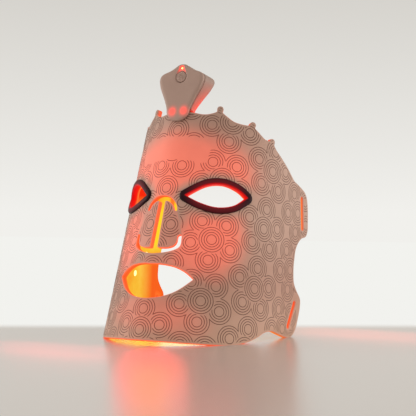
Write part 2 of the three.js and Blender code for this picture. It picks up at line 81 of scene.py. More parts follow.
RING_RADII = (4.0, 6.05, 8.1, 10.2)
PETAL_DISTANCE = 17.14
COLUMN_PITCH = 45.2
COLUMN_START = 1.5
ROW_PITCH = 50.88
FLOWER_ROWS = ((-2.9, 18.0), (26.75, -18.0))  # even and odd columns: height of a flower, turn of its petals
RING_WIDTH = 0.8
RING_GAP = 1.0  # between a middle disc and the petals behind it
RING_HEIGHT = 0.08
RING_ROOT = 0.12
PLAIN_BROW = ((-39.0, 32.0), (141.0, 161.0))  # nothing is moulded here, over the nose

EYE_RIM = 5.4
EYE_PROUD = 2.0
SKIN_UNDER_RIM = 1.9

# ---- bending the flat sheet

def make_rulings(step=0.25):
    """Swing, ruling and outward normal along the level section, from the nose line to the ear."""
    heading, place, previous = 0.0, np.zeros(3), None
    swing, arc = 0.0, 0.0
    rows = []
    for length, turn in SECTION:
        count = int(round(length / step))
        for _ in range(count):
            ruling = (place - APEX) / np.linalg.norm(place - APEX)
            if previous is not None:
                swing += math.acos(min(1.0, float(ruling @ previous)))
            previous = ruling
            along = np.array([math.cos(heading), math.sin(heading), 0.0])
            normal = np.cross(ruling, along)
            rows.append([arc, swing, *ruling, *(normal / np.linalg.norm(normal))])
            half = math.radians(turn) / count / 2
            heading += half
            place = place + step * np.array([math.cos(heading), math.sin(heading), 0.0])
            heading += half
            arc += step
    return np.array(rows)


RULINGS = make_rulings()


def rows_of(points):
    return np.asarray(points, float).reshape(-1, 2)


def on_sheet(flat, depth):
    """Points in metres, in the CAD frame, of flat points at a depth below the outer face."""
    flat = rows_of(flat)
    swing = np.arctan2(np.abs(flat[:, 0]), SLANT - flat[:, 1])
    slant = np.hypot(flat[:, 0], SLANT - flat[:, 1])
    fit = np.stack([np.interp(swing, RULINGS[:, 1], RULINGS[:, i]) for i in range(2, 8)], 1)
    ruling = fit[:, :3] / np.linalg.norm(fit[:, :3], axis=1)[:, None]
    normal = fit[:, 3:] / np.linalg.norm(fit[:, 3:], axis=1)[:, None]
    placed = APEX + slant[:, None] * ruling - np.broadcast_to(depth, len(flat))[:, None] * normal
    placed[:, 0] *= np.where(flat[:, 0] < 0, -1, 1)
    return (placed + FOOT) * MM


def swing_at(arc):
    return float(np.interp(arc, RULINGS[:, 0], RULINGS[:, 1]))


# ---- flat outlines

def spline(points, step):
    """A smooth line through a few points, in equal steps, without its last point."""
    p = np.asarray(points, float)
    before = np.vstack([p[:1], p[:-2]])
    after = np.vstack([p[2:], p[-1:]])
    t = np.linspace(0, 1, 24, endpoint=False)[:, None]
    runs = []
    for a, b, c, d in zip(before, p[:-1], p[1:], after):
        v0, v1 = (c - a) / 2, (d - b) / 2
        runs.append((2 * b - 2 * c + v0 + v1) * t**3 + (3 * c - 3 * b - 2 * v0 - v1) * t**2 + v0 * t + b)
    dense = np.vstack([*runs, p[-1:]])
    lengths = np.concatenate([[0], np.cumsum(np.linalg.norm(np.diff(dense, axis=0), axis=1))])
    at = np.linspace(0, lengths[-1], max(2, int(round(lengths[-1] / step)) + 1))[:-1]
    return np.stack([np.interp(at, lengths, dense[:, i]) for i in (0, 1)], 1)


def chain(*runs, step=1.1):
    return np.vstack([spline(run, step) for run in runs])


def mirrored(loop):
    return (loop * [-1, 1])[::-1]


def whole_from(right_half):
    return np.vstack([right_half, mirrored(right_half)])


def softened(loop, rounds=2):
    """The same closed loop with its corners slightly rounded."""
    for _ in range(rounds):
        loop = (np.roll(loop, 1, 0) + 2 * loop + np.roll(loop, -1, 0)) / 4
    return loop


def normals_of(loop):
    """Outward normals at the points of a loop that runs anticlockwise."""
    side = np.roll(loop, -1, 0) - loop
    side /= np.maximum(np.linalg.norm(side, axis=1), 1e-9)[:, None]
    both = side + np.roll(side, 1, 0)
    out = np.stack([both[:, 1], -both[:, 0]], 1)
    return out / np.maximum(np.linalg.norm(out, axis=1), 1e-9)[:, None]


def grown(loop, distance):
    return loop + distance * normals_of(loop)


def inside(points, loop):
    """Which points lie inside a closed loop."""
    x, y = np.asarray(points, float).T
    found = np.zeros(len(x), bool)
    for a, b in zip(loop, np.roll(loop, -1, 0)):
        crosses = (a[1] > y) != (b[1] > y)
        if a[1] != b[1]:
            found ^= crosses & (x < (b[0] - a[0]) * (y - a[1]) / (b[1] - a[1]) + a[0])
    return found


def gap_to(points, *loops):
    """Distance from each point to the nearest of some closed loops."""
    points = rows_of(points)
    nearest = np.full(len(points), 1e9)
    for loop in loops:
        for a, b in zip(loop, np.roll(loop, -1, 0)):
            side = b - a
            share = np.clip(((points - a) @ side) / max(side @ side, 1e-12), 0, 1)
            nearest = np.minimum(nearest, np.linalg.norm(points - a - share[:, None] * side, axis=1))
    return nearest


def with_knob(loop, centre, radius):
    """The loop with a round knob standing out of it."""
    centre = np.array(centre, float)
    near = np.linalg.norm(loop - centre, axis=1) < radius
    start = next(i for i in range(len(loop)) if near[i] and not near[i - 1])
    loop, near = np.roll(loop, -start, 0), np.roll(near, -start)
    kept = loop[int(np.argmin(near)):]
    into, out = kept[-1] - centre, kept[0] - centre
    first, last = math.atan2(into[1], into[0]), math.atan2(out[1], out[0])
    turn = (last - first) % (2 * math.pi)
    angles = first + turn * np.linspace(0, 1, 17)[1:-1]
    arc = centre + radius * np.stack([np.cos(angles), np.sin(angles)], 1)
    return np.vstack([kept, arc])


def circle(x, y, radius, steps=32):
    angles = np.linspace(0, 2 * math.pi, steps, endpoint=False)
    return np.stack([x + radius * np.cos(angles), y + radius * np.sin(angles)], 1)


def slot_loop(start, end, width, steps=7):
    start, end = np.array(start, float), np.array(end, float)
    along = math.atan2(*(end - start)[::-1])
    turns = np.linspace(-math.pi / 2, math.pi / 2, steps)
    caps = []
    for middle, heading in ((end, along), (start, along + math.pi)):
        caps.append(middle + width / 2 * np.stack([np.cos(heading + turns), np.sin(heading + turns)], 1))
    return np.vstack(caps)


KNOB_RADIUS = 2.8
SLOT_WIDTH = 4.0
EDGE_RUNS = [
    [[6, -11.4], [34, -9.3], [58, -6.4], [76, -2.9], [91, 2.6], [103, 10], [112, 16.8], [122, 20.6]],
    [[122, 20.6], [145, 21.4], [154, 24.6], [159.6, 33], [162, 48]],
    [[162, 48], [161, 58.4], [153, 63.8], [146, 70], [142.4, 82]],
    [[142.4, 82], [142.2, 98], [148.4, 108.8], [156.6, 114], [158.2, 121]],
    [[158.2, 121], [152.6, 140.5], [146.6, 149.4], [136, 152.2], [124, 153.4]],
    [[124, 153.4], [92.4, 169.2]],
    [[92.4, 169.2], [86.5, 173.4], [78, 173.8], [71, 177.4], [64.6, 180.8]],
    [[64.6, 180.8], [56, 179.8], [48, 180.3], [41, 183.8], [34.8, 187.6]],
    [[34.8, 187.6], [29, 184.2], [22, 182.2], [12, 183], [5.5, 183.6]],
    [[5.5, 183.6], [5.5, 192]],
]
KNOBS = [[34.8, 188.8], [64.6, 181.9], [86.6, 174.4]]
EYE_RUNS = [
    [[19.8, 110.6], [32, 106.3], [46, 104.9], [59, 109.2], [69.4, 118.6]],
    [[69.4, 118.6], [61, 122.6], [48, 124.6], [34.5, 121], [19.8, 110.6]],
]
MOUTH_RUNS = [
    [[3, 22.9], [15.3, 25.6], [27, 32], [38.2, 42.9]],
    [[38.2, 42.9], [30, 47.8], [20.5, 50.8], [9, 51.7], [1, 51.4]],
]
NOSE_RUNS = [
    [[1, 60], [9, 61.2], [17, 63.8], [22.4, 68.2], [22.3, 77.3]],
    [[22.3, 77.3], [14.8, 97.2]],
    [[14.8, 97.2], [12.9, 102.6], [7.4, 107.6], [1, 109.3]],
]
FLAP_ROOT = np.array([[22.3, 77.3], [14.8, 97.2]])  # where the nose flap grows out of the sheet
FLAP_RUNS = [
    [[14.8, 97.2], [12.4, 97.1], [10.6, 101.2], [6.4, 104.4], [2.8, 105]],
    [[2.8, 105], [3.4, 64.9]],
    [[3.4, 64.9], [11, 65.3], [16.6, 67.2], [19.3, 71], [19.4, 76.6], [22.3, 77.3]],
    [[22.3, 77.3], [14.8, 97.2]],
]
STRAP_SLOTS = [[[140.8, 143], [148.4, 118.8]], [[151.6, 53], [146, 31]]]


def sheet_edge():
    loop = softened(whole_from(chain(*EDGE_RUNS)), 1)
    for x, y in KNOBS:
        for side in (1, -1):
            loop = with_knob(loop, (side * x, y), KNOB_RADIUS)
    return softened(loop)


def film_edge():
    loop = softened(grown(whole_from(chain(*EDGE_RUNS[:-1], step=2.5)), -FILM_INSET), 3)
    return np.stack([np.clip(loop[:, 0], -TAB_START, TAB_START), loop[:, 1]], 1)


def both_sides(loop):
    return [loop, mirrored(loop)]


EDGE = sheet_edge()
EYE = chain(*EYE_RUNS, step=0.9)
MOUTH = softened(whole_from(chain(*MOUTH_RUNS, step=0.8)))
NOSE = whole_from(chain(*NOSE_RUNS, step=0.8))
FLAP = chain(*FLAP_RUNS, step=0.8)
EYE_HOLES = both_sides(softened(grown(EYE, SKIN_UNDER_RIM), 4))
SLOTS = [loop for line in STRAP_SLOTS for loop in both_sides(slot_loop(*line, SLOT_WIDTH))]


def on_root(points):
    """Which points lie on the line where a nose flap joins the sheet."""
    a, b = FLAP_ROOT
    side = (b - a) / np.linalg.norm(b - a)
    rel = np.abs(np.asarray(points, float)) * [1, 1] - a
    off = np.abs(rel[:, 0] * side[1] - rel[:, 1] * side[0])
    along = rel @ side
    return (off < 0.05) & (along > -0.05) & (along < np.linalg.norm(b - a) + 0.05)


# ---- building closed bodies

class Body:
    """Collects rings of points and the faces between them, for one closed mesh."""

    def __init__(self, place, marks=()):
        self.place = place
        self.flat, self.depth, self.faces = [], [], []
        self.marks = {name: [] for name in marks}

    def ring(self, loop, depth, **marks):
        start = len(self.flat)
        depths = depth(loop) if callable(depth) else np.broadcast_to(depth, len(loop))
        self.flat.extend(loop)
        self.depth.extend(depths)
        for name, values in self.marks.items():
            values.extend(np.broadcast_to(marks.get(name, 0.0), len(loop)))
        return np.arange(start, start + len(loop))

    def bridge(self, front, back, hole=False):
        a, b, c, d = front, back, np.roll(back, -1), np.roll(front, -1)
        quads = np.stack([a, d, c, b] if hole else [a, b, c, d], 1)
        self.faces.extend(quads.tolist())

    def wall(self, rings, hole=False):
        for front, back in zip(rings, rings[1:]):
            self.bridge(front, back, hole)

    def patch(self, outer, holes, depth, pitch, back=False, **marks):
        """Fills the face between a ring and the rings of its holes, and returns its first new point."""
        first = len(self.flat)
        rings = [outer, *holes]
        known = np.concatenate(rings)
        points = np.array([self.flat[i] for i in known])
        loops, edges, start = [], [], 0
        for ring in rings:
            count = len(ring)
            loops.append(points[start:start + count])
            edges += [(start + i, start + (i + 1) % count) for i in range(count)]
            start += count
        low, high = points.min(0), points.max(0)
        rows = np.arange(low[1] + pitch / 2, high[1], pitch * math.sqrt(0.75))
        columns = np.arange(low[0] + pitch / 2, high[0], pitch)
        grid = rows_of([(x + (i % 2) * pitch / 2, y) for i, y in enumerate(rows) for x in columns])
        grid = grid[inside(grid, loops[0])]
        for hole in loops[1:]:
            grid = grid[~inside(grid, hole)]
        tree = KDTree(len(points))
        for i, (x, y) in enumerate(points):
            tree.insert((x, y, 0), i)
        tree.balance()
        grid = rows_of([p for p in grid if tree.find((*p, 0))[2] > pitch * GRID_CLEARANCE])
        known = np.concatenate([known, self.ring(grid, depth, **marks)])
        every = np.vstack([points, grid])
        made = delaunay_2d_cdt([tuple(p) for p in every], edges, [], 0, 1e-6, True)
        source = [ids[0] for ids in made[3]]
        corners = np.array([[source[i] for i in face] for face in made[2]], int)
        corners = corners[within(corners, edges, every, loops)]
        a, b, c = (every[corners[:, i]] for i in range(3))
        turn = (b[:, 0] - a[:, 0]) * (c[:, 1] - a[:, 1]) - (b[:, 1] - a[:, 1]) * (c[:, 0] - a[:, 0])
        if (turn.sum() < 0) != back:
            corners = corners[:, ::-1]
        self.faces.extend(known[corners].tolist())
        return first

    def close(self, rings, front, back, front_pitch, back_pitch):
        """Walls a row of rings and fills both its ends, without holes."""
        self.wall(rings)
        self.patch(rings[0], [], front, front_pitch)
        self.patch(rings[-1], [], back, back_pitch, back=True)

    def shade(self, mark, first, values):
        """Sets a mark on every point from the given one on."""
        self.marks[mark][first:] = values(self.flat[first:])

    def piece(self, name, sharp=40):
        places = self.place(np.array(self.flat), np.array(self.depth))
        ob = new_mesh(name, places, self.faces, sharp)
        for mark, values in self.marks.items():
            layer = ob.data.attributes.new(mark, "FLOAT", "POINT")
            layer.data.foreach_set("value", np.asarray(values, np.float32))
        return ob


def within(corners, walls, points, loops):
    """Which triangles lie inside the first loop and outside the others, one walled-in group at a time."""
    walls = {frozenset(wall) for wall in walls}
    group = list(range(len(corners)))

    def head(k):
        while group[k] != k:
            group[k] = group[group[k]]
            k = group[k]
        return k

    met = {}
    for k, (a, b, c) in enumerate(corners.tolist()):
        for side in (frozenset((a, b)), frozenset((b, c)), frozenset((c, a))):
            if side in met:
                group[head(k)] = head(met[side])
            elif side not in walls:
                met[side] = k
    heads = np.array([head(k) for k in range(len(corners))])
    a, b, c = (points[corners[:, i]] for i in range(3))
    area = np.abs((b[:, 0] - a[:, 0]) * (c[:, 1] - a[:, 1]) - (b[:, 1] - a[:, 1]) * (c[:, 0] - a[:, 0]))
    order = np.argsort(area)
    largest = dict(zip(heads[order].tolist(), order.tolist()))
    middles = np.array([points[corners[k]].mean(0) for k in largest.values()])
    # a group of slivers outside a straight wall has no size, and is left out
    kept = inside(middles, loops[0]) & (area[list(largest.values())] > 0.001)
    for hole in loops[1:]:
        kept &= ~inside(middles, hole)
    kept_heads = [h for h, keep in zip(largest, kept) if keep]
    return np.isin(heads, kept_heads)


def new_mesh(name, places, faces, sharp=40):
    mesh = bpy.data.meshes.new(name)
    mesh.from_pydata(places.tolist(), [], faces)
    mesh.validate()
    mesh.shade_smooth()
    mesh.set_sharp_from_angle(angle=math.radians(sharp))
    ob = bpy.data.objects.new(name, mesh)
    bpy.context.scene.collection.objects.link(ob)
    return ob


def rounding(radius, steps=3):
    """Inset and depth along a rounded edge, from the face to the wall."""
    angles = np.linspace(0, math.pi / 2, steps + 1)
    return [(radius * (1 - math.sin(a)), radius * (1 - math.cos(a))) for a in angles]


# ---- how the light shows through

def soft_spot(points, x, y, width, height, softness=0.16):
    """1 inside an oval and 0 outside it, with a soft edge."""
    reach = np.hypot((points[:, 0] - x) / width, (points[:, 1] - y) / height)
    return 1 / (1 + np.exp((reach - 1) / softness))


LIT_SPOTS = [
    # centre, half width, half height, strength
    (8, 141, 57, 24, 1.0),
    (40, 134, 28, 18, 0.9),
    (0, 116, 15, 14, 0.75),
    (48, 80, 24.5, 27, 1.0),
    (32, 66, 16, 20, 0.85),
    (52, 52, 12, 10, 0.2),
    (45, 131, 22, 7, 0.5),
    (6, 54, 16, 5, 0.3),
    (-34, 76, 18, 30, 0.85),
    (-42, 130, 26, 22, 0.6),
    (4, 12, 36, 14, 0.42),
    (36, 6, 20, 12, 0.25),
]


def lit_by_leds(points):
    """How much of the light inside shows through the outer face, from 0 to 1."""
    points = rows_of(points)
    dark = np.ones(len(points))
    for x, y, width, height, strength in LIT_SPOTS:
        dark *= 1 - strength * soft_spot(points, x, y, width, height)
    shaded = np.ones(len(points))
    for eye in both_sides(EYE):
        away = gap_to(points, eye)
        away[inside(points, eye)] = 0
        shaded *= np.clip((away - 5.5) / 7, 0, 1) ** 0.8
    return (1 - dark) * shaded


def edge_light(points):
    """How brightly a cut edge glows: most at the holes, the top and the foot, and least at the ears."""
    x, y = np.abs(rows_of(points)).T
    top = np.clip((y - 170) / 6, 0, 1) * 0.7
    for knob in KNOBS:
        top *= 0.3 + 0.7 * np.clip((np.hypot(x - knob[0], y - knob[1]) - KNOB_RADIUS) / 3, 0, 1)
    foot = np.clip((26 - y) / 10, 0, 1)
    return np.maximum.reduce([top, foot, np.full(len(x), 0.05)])


# ---- the sheet's layers

def cut_at_seam(loop, keep_left):
    """One side of a loop divided at the seam ruling, with a mark on the points that lie on the seam."""
    slope = math.tan(swing_at(SEAM_ARC))
    over = -loop[:, 0] - slope * (SLANT - loop[:, 1])  # positive beyond the seam, on the wearer's right
    over = over if not keep_left else -over
    made, seam = [], []
    for i in range(len(loop)):
        j = (i + 1) % len(loop)
        if over[i] > 0:
            made.append(loop[i])
            seam.append(False)
        if (over[i] > 0) != (over[j] > 0):
            share = over[i] / (over[i] - over[j])
            made.append(loop[i] + share * (loop[j] - loop[i]))
            seam.append(True)
    made, seam = np.array(made), np.array(seam)
    first, second = np.flatnonzero(seam)
    start, end = (first, second) if second - first == 1 else (second, first)
    steps = np.linspace(0, 1, 60)[1:-1, None]
    line = made[start] + steps * (made[end] - made[start])
    order = np.roll(np.arange(len(made)), -end)
    made, seam = made[order], seam[order]
    return np.vstack([made, line]), np.concatenate([seam, np.ones(len(line), bool)])


MARKS = ("glow", "edge", "inner")
EDGE_SHARES = (0.0, 0.3, 0.7, 1.0)  # how much of a cut edge's glow each line of its rounding takes


def sheet_layer(name, depths, side, holes, rounds, edge, film):
    """One layer of the sheet on one side of the seam, as a closed body."""
    body = Body(on_sheet, MARKS)
    front, back = depths
    keep_left = side == "left"
    loop, seam = cut_at_seam(edge, keep_left)
    sides = [(loop, ~seam, edge_light(loop))]
    slope = math.tan(swing_at(SEAM_ARC))
    for hole in holes:
        middle = hole.mean(0)
        if (-middle[0] < slope * (SLANT - middle[1])) == keep_left:
            slot_light = 0.8 if front > 0 else 0.4
            sides.append((hole, ~on_root(hole), slot_light if abs(middle[0]) > HINGE_ARC else 1.0))
    first, last = [], []
    for line, free, light in sides:
        hole = line is not loop
        out = normals_of(line) * (-1 if hole else 1)
        light = light * free
        rings = []
        profile = [(inset, front + down, share)
                   for (inset, down), share in zip(rounding(rounds[0]), EDGE_SHARES)]
        profile += [(inset, back - down, 1.0) for inset, down in reversed(rounding(rounds[1]))]
        for inset, depth, share in profile:
            place = line - out * (inset * free)[:, None]
            glow = 0 if film else lit_by_leds(place)
            inner = (depth - front) / (back - front)
            rings.append(body.ring(place, depth, glow=glow, edge=light * share, inner=inner))
        body.wall(rings, hole)
        first.append(rings[0])
        last.append(rings[-1])
    start = body.patch(first[0], first[1:], front, GRID)
    if not film:
        body.shade("glow", start, lit_by_leds)
    body.patch(last[0], last[1:], back, GRID, back=True, inner=1.0)
    return body.piece(name)


def bend_panel(ob, side):
    """Works out two points across the axis of one side panel, which nothing uses, and bakes the piece's
    transform into its mesh.
    """
    slope = math.tan(swing_at(HINGE_ARC))
    x = (SLANT - BEND_HEIGHT) * slope
    across = np.array([[x, BEND_HEIGHT], [x + 1, BEND_HEIGHT + slope]]) * [SIDES[side], 1]
    here, there = on_sheet(across, 0)
    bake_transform(ob)


# ---- materials

def colour(red, green, blue):
    """A colour given as a screen shows it, from 0 to 255, as linear light."""
    parts = [c / 255 for c in (red, green, blue)]
    return tuple(c / 12.92 if c <= 0.04045 else ((c + 0.055) / 1.055) ** 2.4 for c in parts) + (1.0,)


class Look:
    """A material made of nodes, with short ways to add the ones that are used often."""

    def __init__(self, name, roughness, specular=0.5):
        self.made = bpy.data.materials.new(name)
        self.made.use_nodes = True
        self.tree = self.made.node_tree
        self.base = self.tree.nodes["Principled BSDF"]
        self.base.inputs["Roughness"].default_value = roughness
        self.base.inputs["Specular IOR Level"].default_value = specular
        self.coords = self.add("ShaderNodeTexCoord").outputs["Object"]

    def add(self, kind, **settings):
        node = self.tree.nodes.new(kind)
        for key, value in settings.items():
            setattr(node, key, value)
        return node

    def put(self, socket, value):
        """Links a socket or sets it to a number, or to a colour given from 0 to 255."""
        if isinstance(value, bpy.types.NodeSocket):
            self.tree.links.new(value, socket)
        else:
            socket.default_value = colour(*value) if isinstance(value, tuple) else value

    def mark(self, name):
        return self.add("ShaderNodeAttribute", attribute_name=name).outputs["Fac"]

    def noise(self, scale, detail=3.0, roughness=0.55):
        node = self.add("ShaderNodeTexNoise")
        self.put(node.inputs["Vector"], self.coords)
        self.put(node.inputs["Scale"], scale)
        self.put(node.inputs["Detail"], detail)
        self.put(node.inputs["Roughness"], roughness)
        return node.outputs["Fac"]

    def maths(self, operation, a, b=0.0):
        node = self.add("ShaderNodeMath", operation=operation)
        self.put(node.inputs[0], a)
        self.put(node.inputs[1], b)
        return node.outputs[0]

    def ramp(self, value, *stops):
        node = self.add("ShaderNodeValToRGB")
        self.put(node.inputs["Fac"], value)
        points = node.color_ramp.elements
        ends = [points[0], points[1]]
        for point, (position, shade) in zip(ends, (stops[0], stops[-1])):
            point.position = position
            point.color = colour(*shade)
        for position, shade in stops[1:-1]:
            points.new(position).color = colour(*shade)
        return node.outputs["Color"]

    def mix(self, share, a, b):
        node = self.add("ShaderNodeMix", data_type="RGBA")
        self.put(node.inputs["Factor"], share)
        self.put(node.inputs[6], a)
        self.put(node.inputs[7], b)
        return node.outputs[2]

    def remap(self, value, low, high, to_low=0.0, to_high=1.0):
        node = self.add("ShaderNodeMapRange")
        for socket, number in zip(node.inputs[1:5], (low, high, to_low, to_high)):
            self.put(socket, number)
        self.put(node.inputs["Value"], value)
        return node.outputs["Result"]

    def mottle(self, noise, a, b):
        return self.mix(self.remap(noise, 0.3, 0.7), a, b)

    def bump(self, height, strength, distance):
        node = self.add("ShaderNodeBump")
        self.put(node.inputs["Strength"], strength)
        self.put(node.inputs["Distance"], distance)
        self.put(node.inputs["Height"], height)
        self.put(self.base.inputs["Normal"], node.outputs["Normal"])

    def along(self, axis):
        node = self.add("ShaderNodeSeparateXYZ")
        self.put(node.inputs[0], self.coords)
        return node.outputs[axis]

    def paint(self, shade):
        self.put(self.base.inputs["Base Color"], shade)

    def emit(self, shade, strength):
        self.put(self.base.inputs["Emission Color"], shade)
        self.put(self.base.inputs["Emission Strength"], strength)


def silicone_look():
    """Matt taupe silicone with painted shade by height, coral where the light inside shows through and orange
    at its cut edges.
    """
    look = Look("silicone", 0.58, 0.35)
    cloudy = look.noise(26.0, 4.0)
    fine = look.noise(420.0, 2.0)
    # painted shade by height: the taupe is darkest a little above the foot and again towards the top, where
    # less of the studio light falls
    taupe = look.ramp(look.remap(look.along(2), 0.0, 0.18), (0.0, (186, 145, 122)),
                      (0.25, (169, 125, 106)), (0.556, (176, 141, 124)),
                      (0.75, (176, 141, 124)), (1.0, (166, 130, 113)))
    taupe = look.mix(look.remap(cloudy, 0.3, 0.7, 0.0, 0.2), taupe, (214, 182, 166))
    glow = look.maths("MULTIPLY", look.mark("glow"), look.remap(cloudy, 0.25, 0.75, 0.86, 1.1))
    coral = look.mottle(cloudy, (232, 122, 100), (238, 132, 110))
    skin = look.mix(glow, taupe, coral)
    lit_colour = look.ramp(look.mark("inner"), (0.0, (240, 100, 60)), (1.0, (250, 84, 36)))
    edge = look.mark("edge")
    look.paint(look.mix(edge, skin, lit_colour))
    red = look.mix(edge, (255, 104, 84), lit_colour)
    strength = look.maths("ADD", look.maths("MULTIPLY", glow, 0.23), look.maths("MULTIPLY", edge, 0.62))
    look.emit(red, strength)
    look.base.inputs["Sheen Weight"].default_value = 0.12
    look.base.inputs["Sheen Roughness"].default_value = 0.5
    look.bump(fine, 0.12, 0.0002)
    return look.made


def ring_look():
    """The moulded rings: the same silicone, darker."""
    look = Look("moulded_rings", 0.5, 0.3)
    fine = look.noise(300.0, 2.0)
    plain = look.mottle(fine, (92, 60, 46), (106, 72, 56))
    lit = look.mottle(fine, (164, 56, 42), (176, 66, 50))
    glow = look.mark("glow")
    look.paint(look.mix(glow, plain, lit))
    look.emit((200, 50, 36), look.maths("MULTIPLY", glow, 0.06))
    look.bump(fine, 0.1, 0.0001)
    return look.made


def inner_look():
    """Clear silicone over the lights, with their glow painted on it: yellow to amber on its face, and red at
    its cut edges.
    """
    look = Look("lit_silicone", 0.5, 0.0)
    cloudy = look.noise(34.0, 3.0)
    face = look.ramp(cloudy, (0.32, (251, 168, 44)), (0.5, (251, 196, 58)), (0.7, (255, 214, 86)))
    back, up = look.along(1), look.along(2)
    low_back = look.maths("MULTIPLY", look.remap(back, 0.02, 0.04), look.remap(up, 0.056, 0.074, 1.0, 0.0))
    face = look.mix(low_back, face, (250, 96, 30))
    bright = look.maths("MULTIPLY", look.remap(back, 0.012, 0.034), look.remap(up, 0.066, 0.078))
    face = look.mix(bright, face, (255, 226, 46))
    temple = look.ramp(look.remap(back, 0.0, 0.056), (0.0, (250, 8, 4)), (0.5, (250, 12, 4)),
                       (0.62, (251, 66, 10)), (0.74, (252, 132, 22)), (1.0, (255, 200, 44)))
    face = look.mix(look.remap(up, 0.104, 0.1195), face, temple)
    face = look.mix(look.remap(up, 0.14, 0.17), face, (246, 104, 80))
    cut = look.ramp(look.mark("inner"), (0.0, (250, 84, 44)), (1.0, (255, 120, 36)))
    edge = look.mark("edge")
    shade = look.mix(edge, face, cut)
    look.paint(look.mix(edge, (84, 44, 14), (170, 70, 44)))
    look.emit(shade, look.remap(edge, 0.0, 1.0, 0.88, 0.75))
    look.bump(look.noise(140.0, 2.0), 0.2, 0.0004)
    return look.made


def window_look(name, strength):
    """The clear domes in front of the light chips, and the status light's lens."""
    look = Look(name, 0.18, 0.5)
    spark = look.noise(700.0, 1.0)
    look.paint(look.mix(spark, (255, 214, 120), (255, 236, 170)))
    look.emit(look.mix(spark, (255, 208, 96), (255, 240, 170)), strength)
    return look.made


def film_look():
    look = Look("circuit_film", 0.45)
    weave = look.noise(90.0, 2.0)
    look.paint(look.mix(weave, (196, 132, 52), (222, 168, 84)))
    return look.made


def rubber_look():
    """Black rubber rims, which take up red light towards the inside of each eye hole."""
    look = Look("eye_rubber", 0.4, 0.1)
    fine = look.noise(380.0, 3.0)
    look.paint(look.mix(fine, (13, 7, 13), (22, 12, 21)))
    # painted red LED light on the black rubber: none at 0, then dark red, then bright red to orange where
    # most of it falls
    led_share = look.mark("warmth")
    shade = look.ramp(led_share, (0.0, (0, 0, 0)), (0.25, (92, 8, 12)), (0.5, (236, 10, 6)),
                      (0.74, (248, 26, 8)), (1.0, (255, 132, 56)))
    look.emit(shade, 1.0)
    look.put(look.base.inputs["Roughness"], look.remap(fine, 0.3, 0.7, 0.42, 0.52))
    look.bump(fine, 0.15, 0.0002)
    return look.made


def shell_look(name, dark, light, lit_colour, glow):
    """Moulded controller shells: soft-touch taupe, lit coral at the status light, the tip and the rear."""
    look = Look(name, 0.5, 0.4)
    fine = look.noise(520.0, 2.0)
    cloudy = look.noise(40.0, 2.0)
    plain = look.mottle(cloudy, dark, light)
    # painted LED light: the shell turns coral and glows where the lights inside fall on it
    led_share = look.mark("warmth")
    look.paint(look.mix(led_share, plain, lit_colour))
    look.emit(glow, look.maths("MULTIPLY", led_share, 0.52))
    look.put(look.base.inputs["Roughness"], look.remap(fine, 0.3, 0.7, 0.44, 0.56))
    look.bump(fine, 0.12, 0.00015)
    return look.made


def plain_look(name, dark, light, roughness, metallic=0.0, scale=200.0):
    """Two close shades in a fine grain, for small parts."""
    look = Look(name, roughness)
    grain = look.noise(scale, 3.0)
    look.paint(look.mix(grain, dark, light))
    look.base.inputs["Metallic"].default_value = metallic
    look.bump(grain, 0.1, 0.0001)
    return look.made


def dress(ob, look):
    ob.data.materials.clear()
    ob.data.materials.append(look)
    return ob


SILICONE = silicone_look()
RINGS = ring_look()
LIT_SILICONE = inner_look()
WINDOWS = window_look("light_windows", 1.2)
FILM = film_look()
EYE_RUBBER = rubber_look()
SHELL = shell_look("controller_shell", (160, 131, 118), (168, 139, 126), (240, 96, 84), (255, 84, 72))
# painted shade: the rear shell is the same plastic as the front one, drawn darker, with darker painted LED
# light too
SHADED_REAR_SHELL = shell_look("controller_rear_shell_shaded", (146, 120, 108), (154, 128, 116),
                        (226, 74, 62), (255, 62, 48))
# painted shade: the seal is drawn darker than the shells for the shade in the groove between them
SHADED_SEAL_RUBBER = plain_look("seal_rubber", (136, 108, 97), (148, 119, 107), 0.7)
BOARD_GREEN = plain_look("board_green", (24, 82, 50), (34, 104, 64), 0.45, scale=90.0)
BLACK_PLASTIC = plain_look("black_plastic", (24, 24, 27), (38, 38, 42), 0.42)
STEEL = plain_look("plated_steel", (176, 178, 184), (206, 208, 212), 0.3, metallic=1.0)
CELL_WRAP = plain_look("cell_wrap", (186, 190, 198), (208, 212, 218), 0.4, metallic=0.2)
FOAM = plain_look("foam_pad", (48, 48, 52), (70, 70, 76), 0.95, scale=600.0)
LENS = window_look("status_lens", 0.7)

# ---- the sheet

def build_sheet():
    skin_holes = [*EYE_HOLES, MOUTH, NOSE, *SLOTS]
    film_holes = [softened(grown(hole, FILM_INSET), 3) for hole in (*EYE_HOLES, MOUTH, NOSE)]
    layers = [
        # name, depths, holes, rounding of the two faces' edges, look, slot
        ("outer_skin", (0.0, SKIN_PARTING), skin_holes, (EDGE_ROUND, 0.05), SILICONE, "silicone_skin"),
        ("inner_skin", (SKIN_PARTING, SHEET_DEPTH), skin_holes, (0.05, 0.7), LIT_SILICONE, "clear_silicone"),
        ("led_circuit", FILM_DEPTH, film_holes, (0.02, 0.02), FILM, "circuit_film"),
    ]
    for name, depths, holes, rounds, look, slot in layers:
        film = name == "led_circuit"
        for side in SIDES:
            piece_name = f"{name}_face" if side == "left" else f"{name}_right_panel_bent"
            ob = sheet_layer(piece_name, depths, side, holes, rounds, film_edge() if film else EDGE, film)
            dress(ob, look)
            bend_panel(ob, side)
            if side == "left":
                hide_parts(f"{name}_center", f"{name}_left_panel")
            else:
                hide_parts(f"{name}_right_panel")


build_sheet()

# ---- the nose flaps

FLAP_GLOW = 0.3


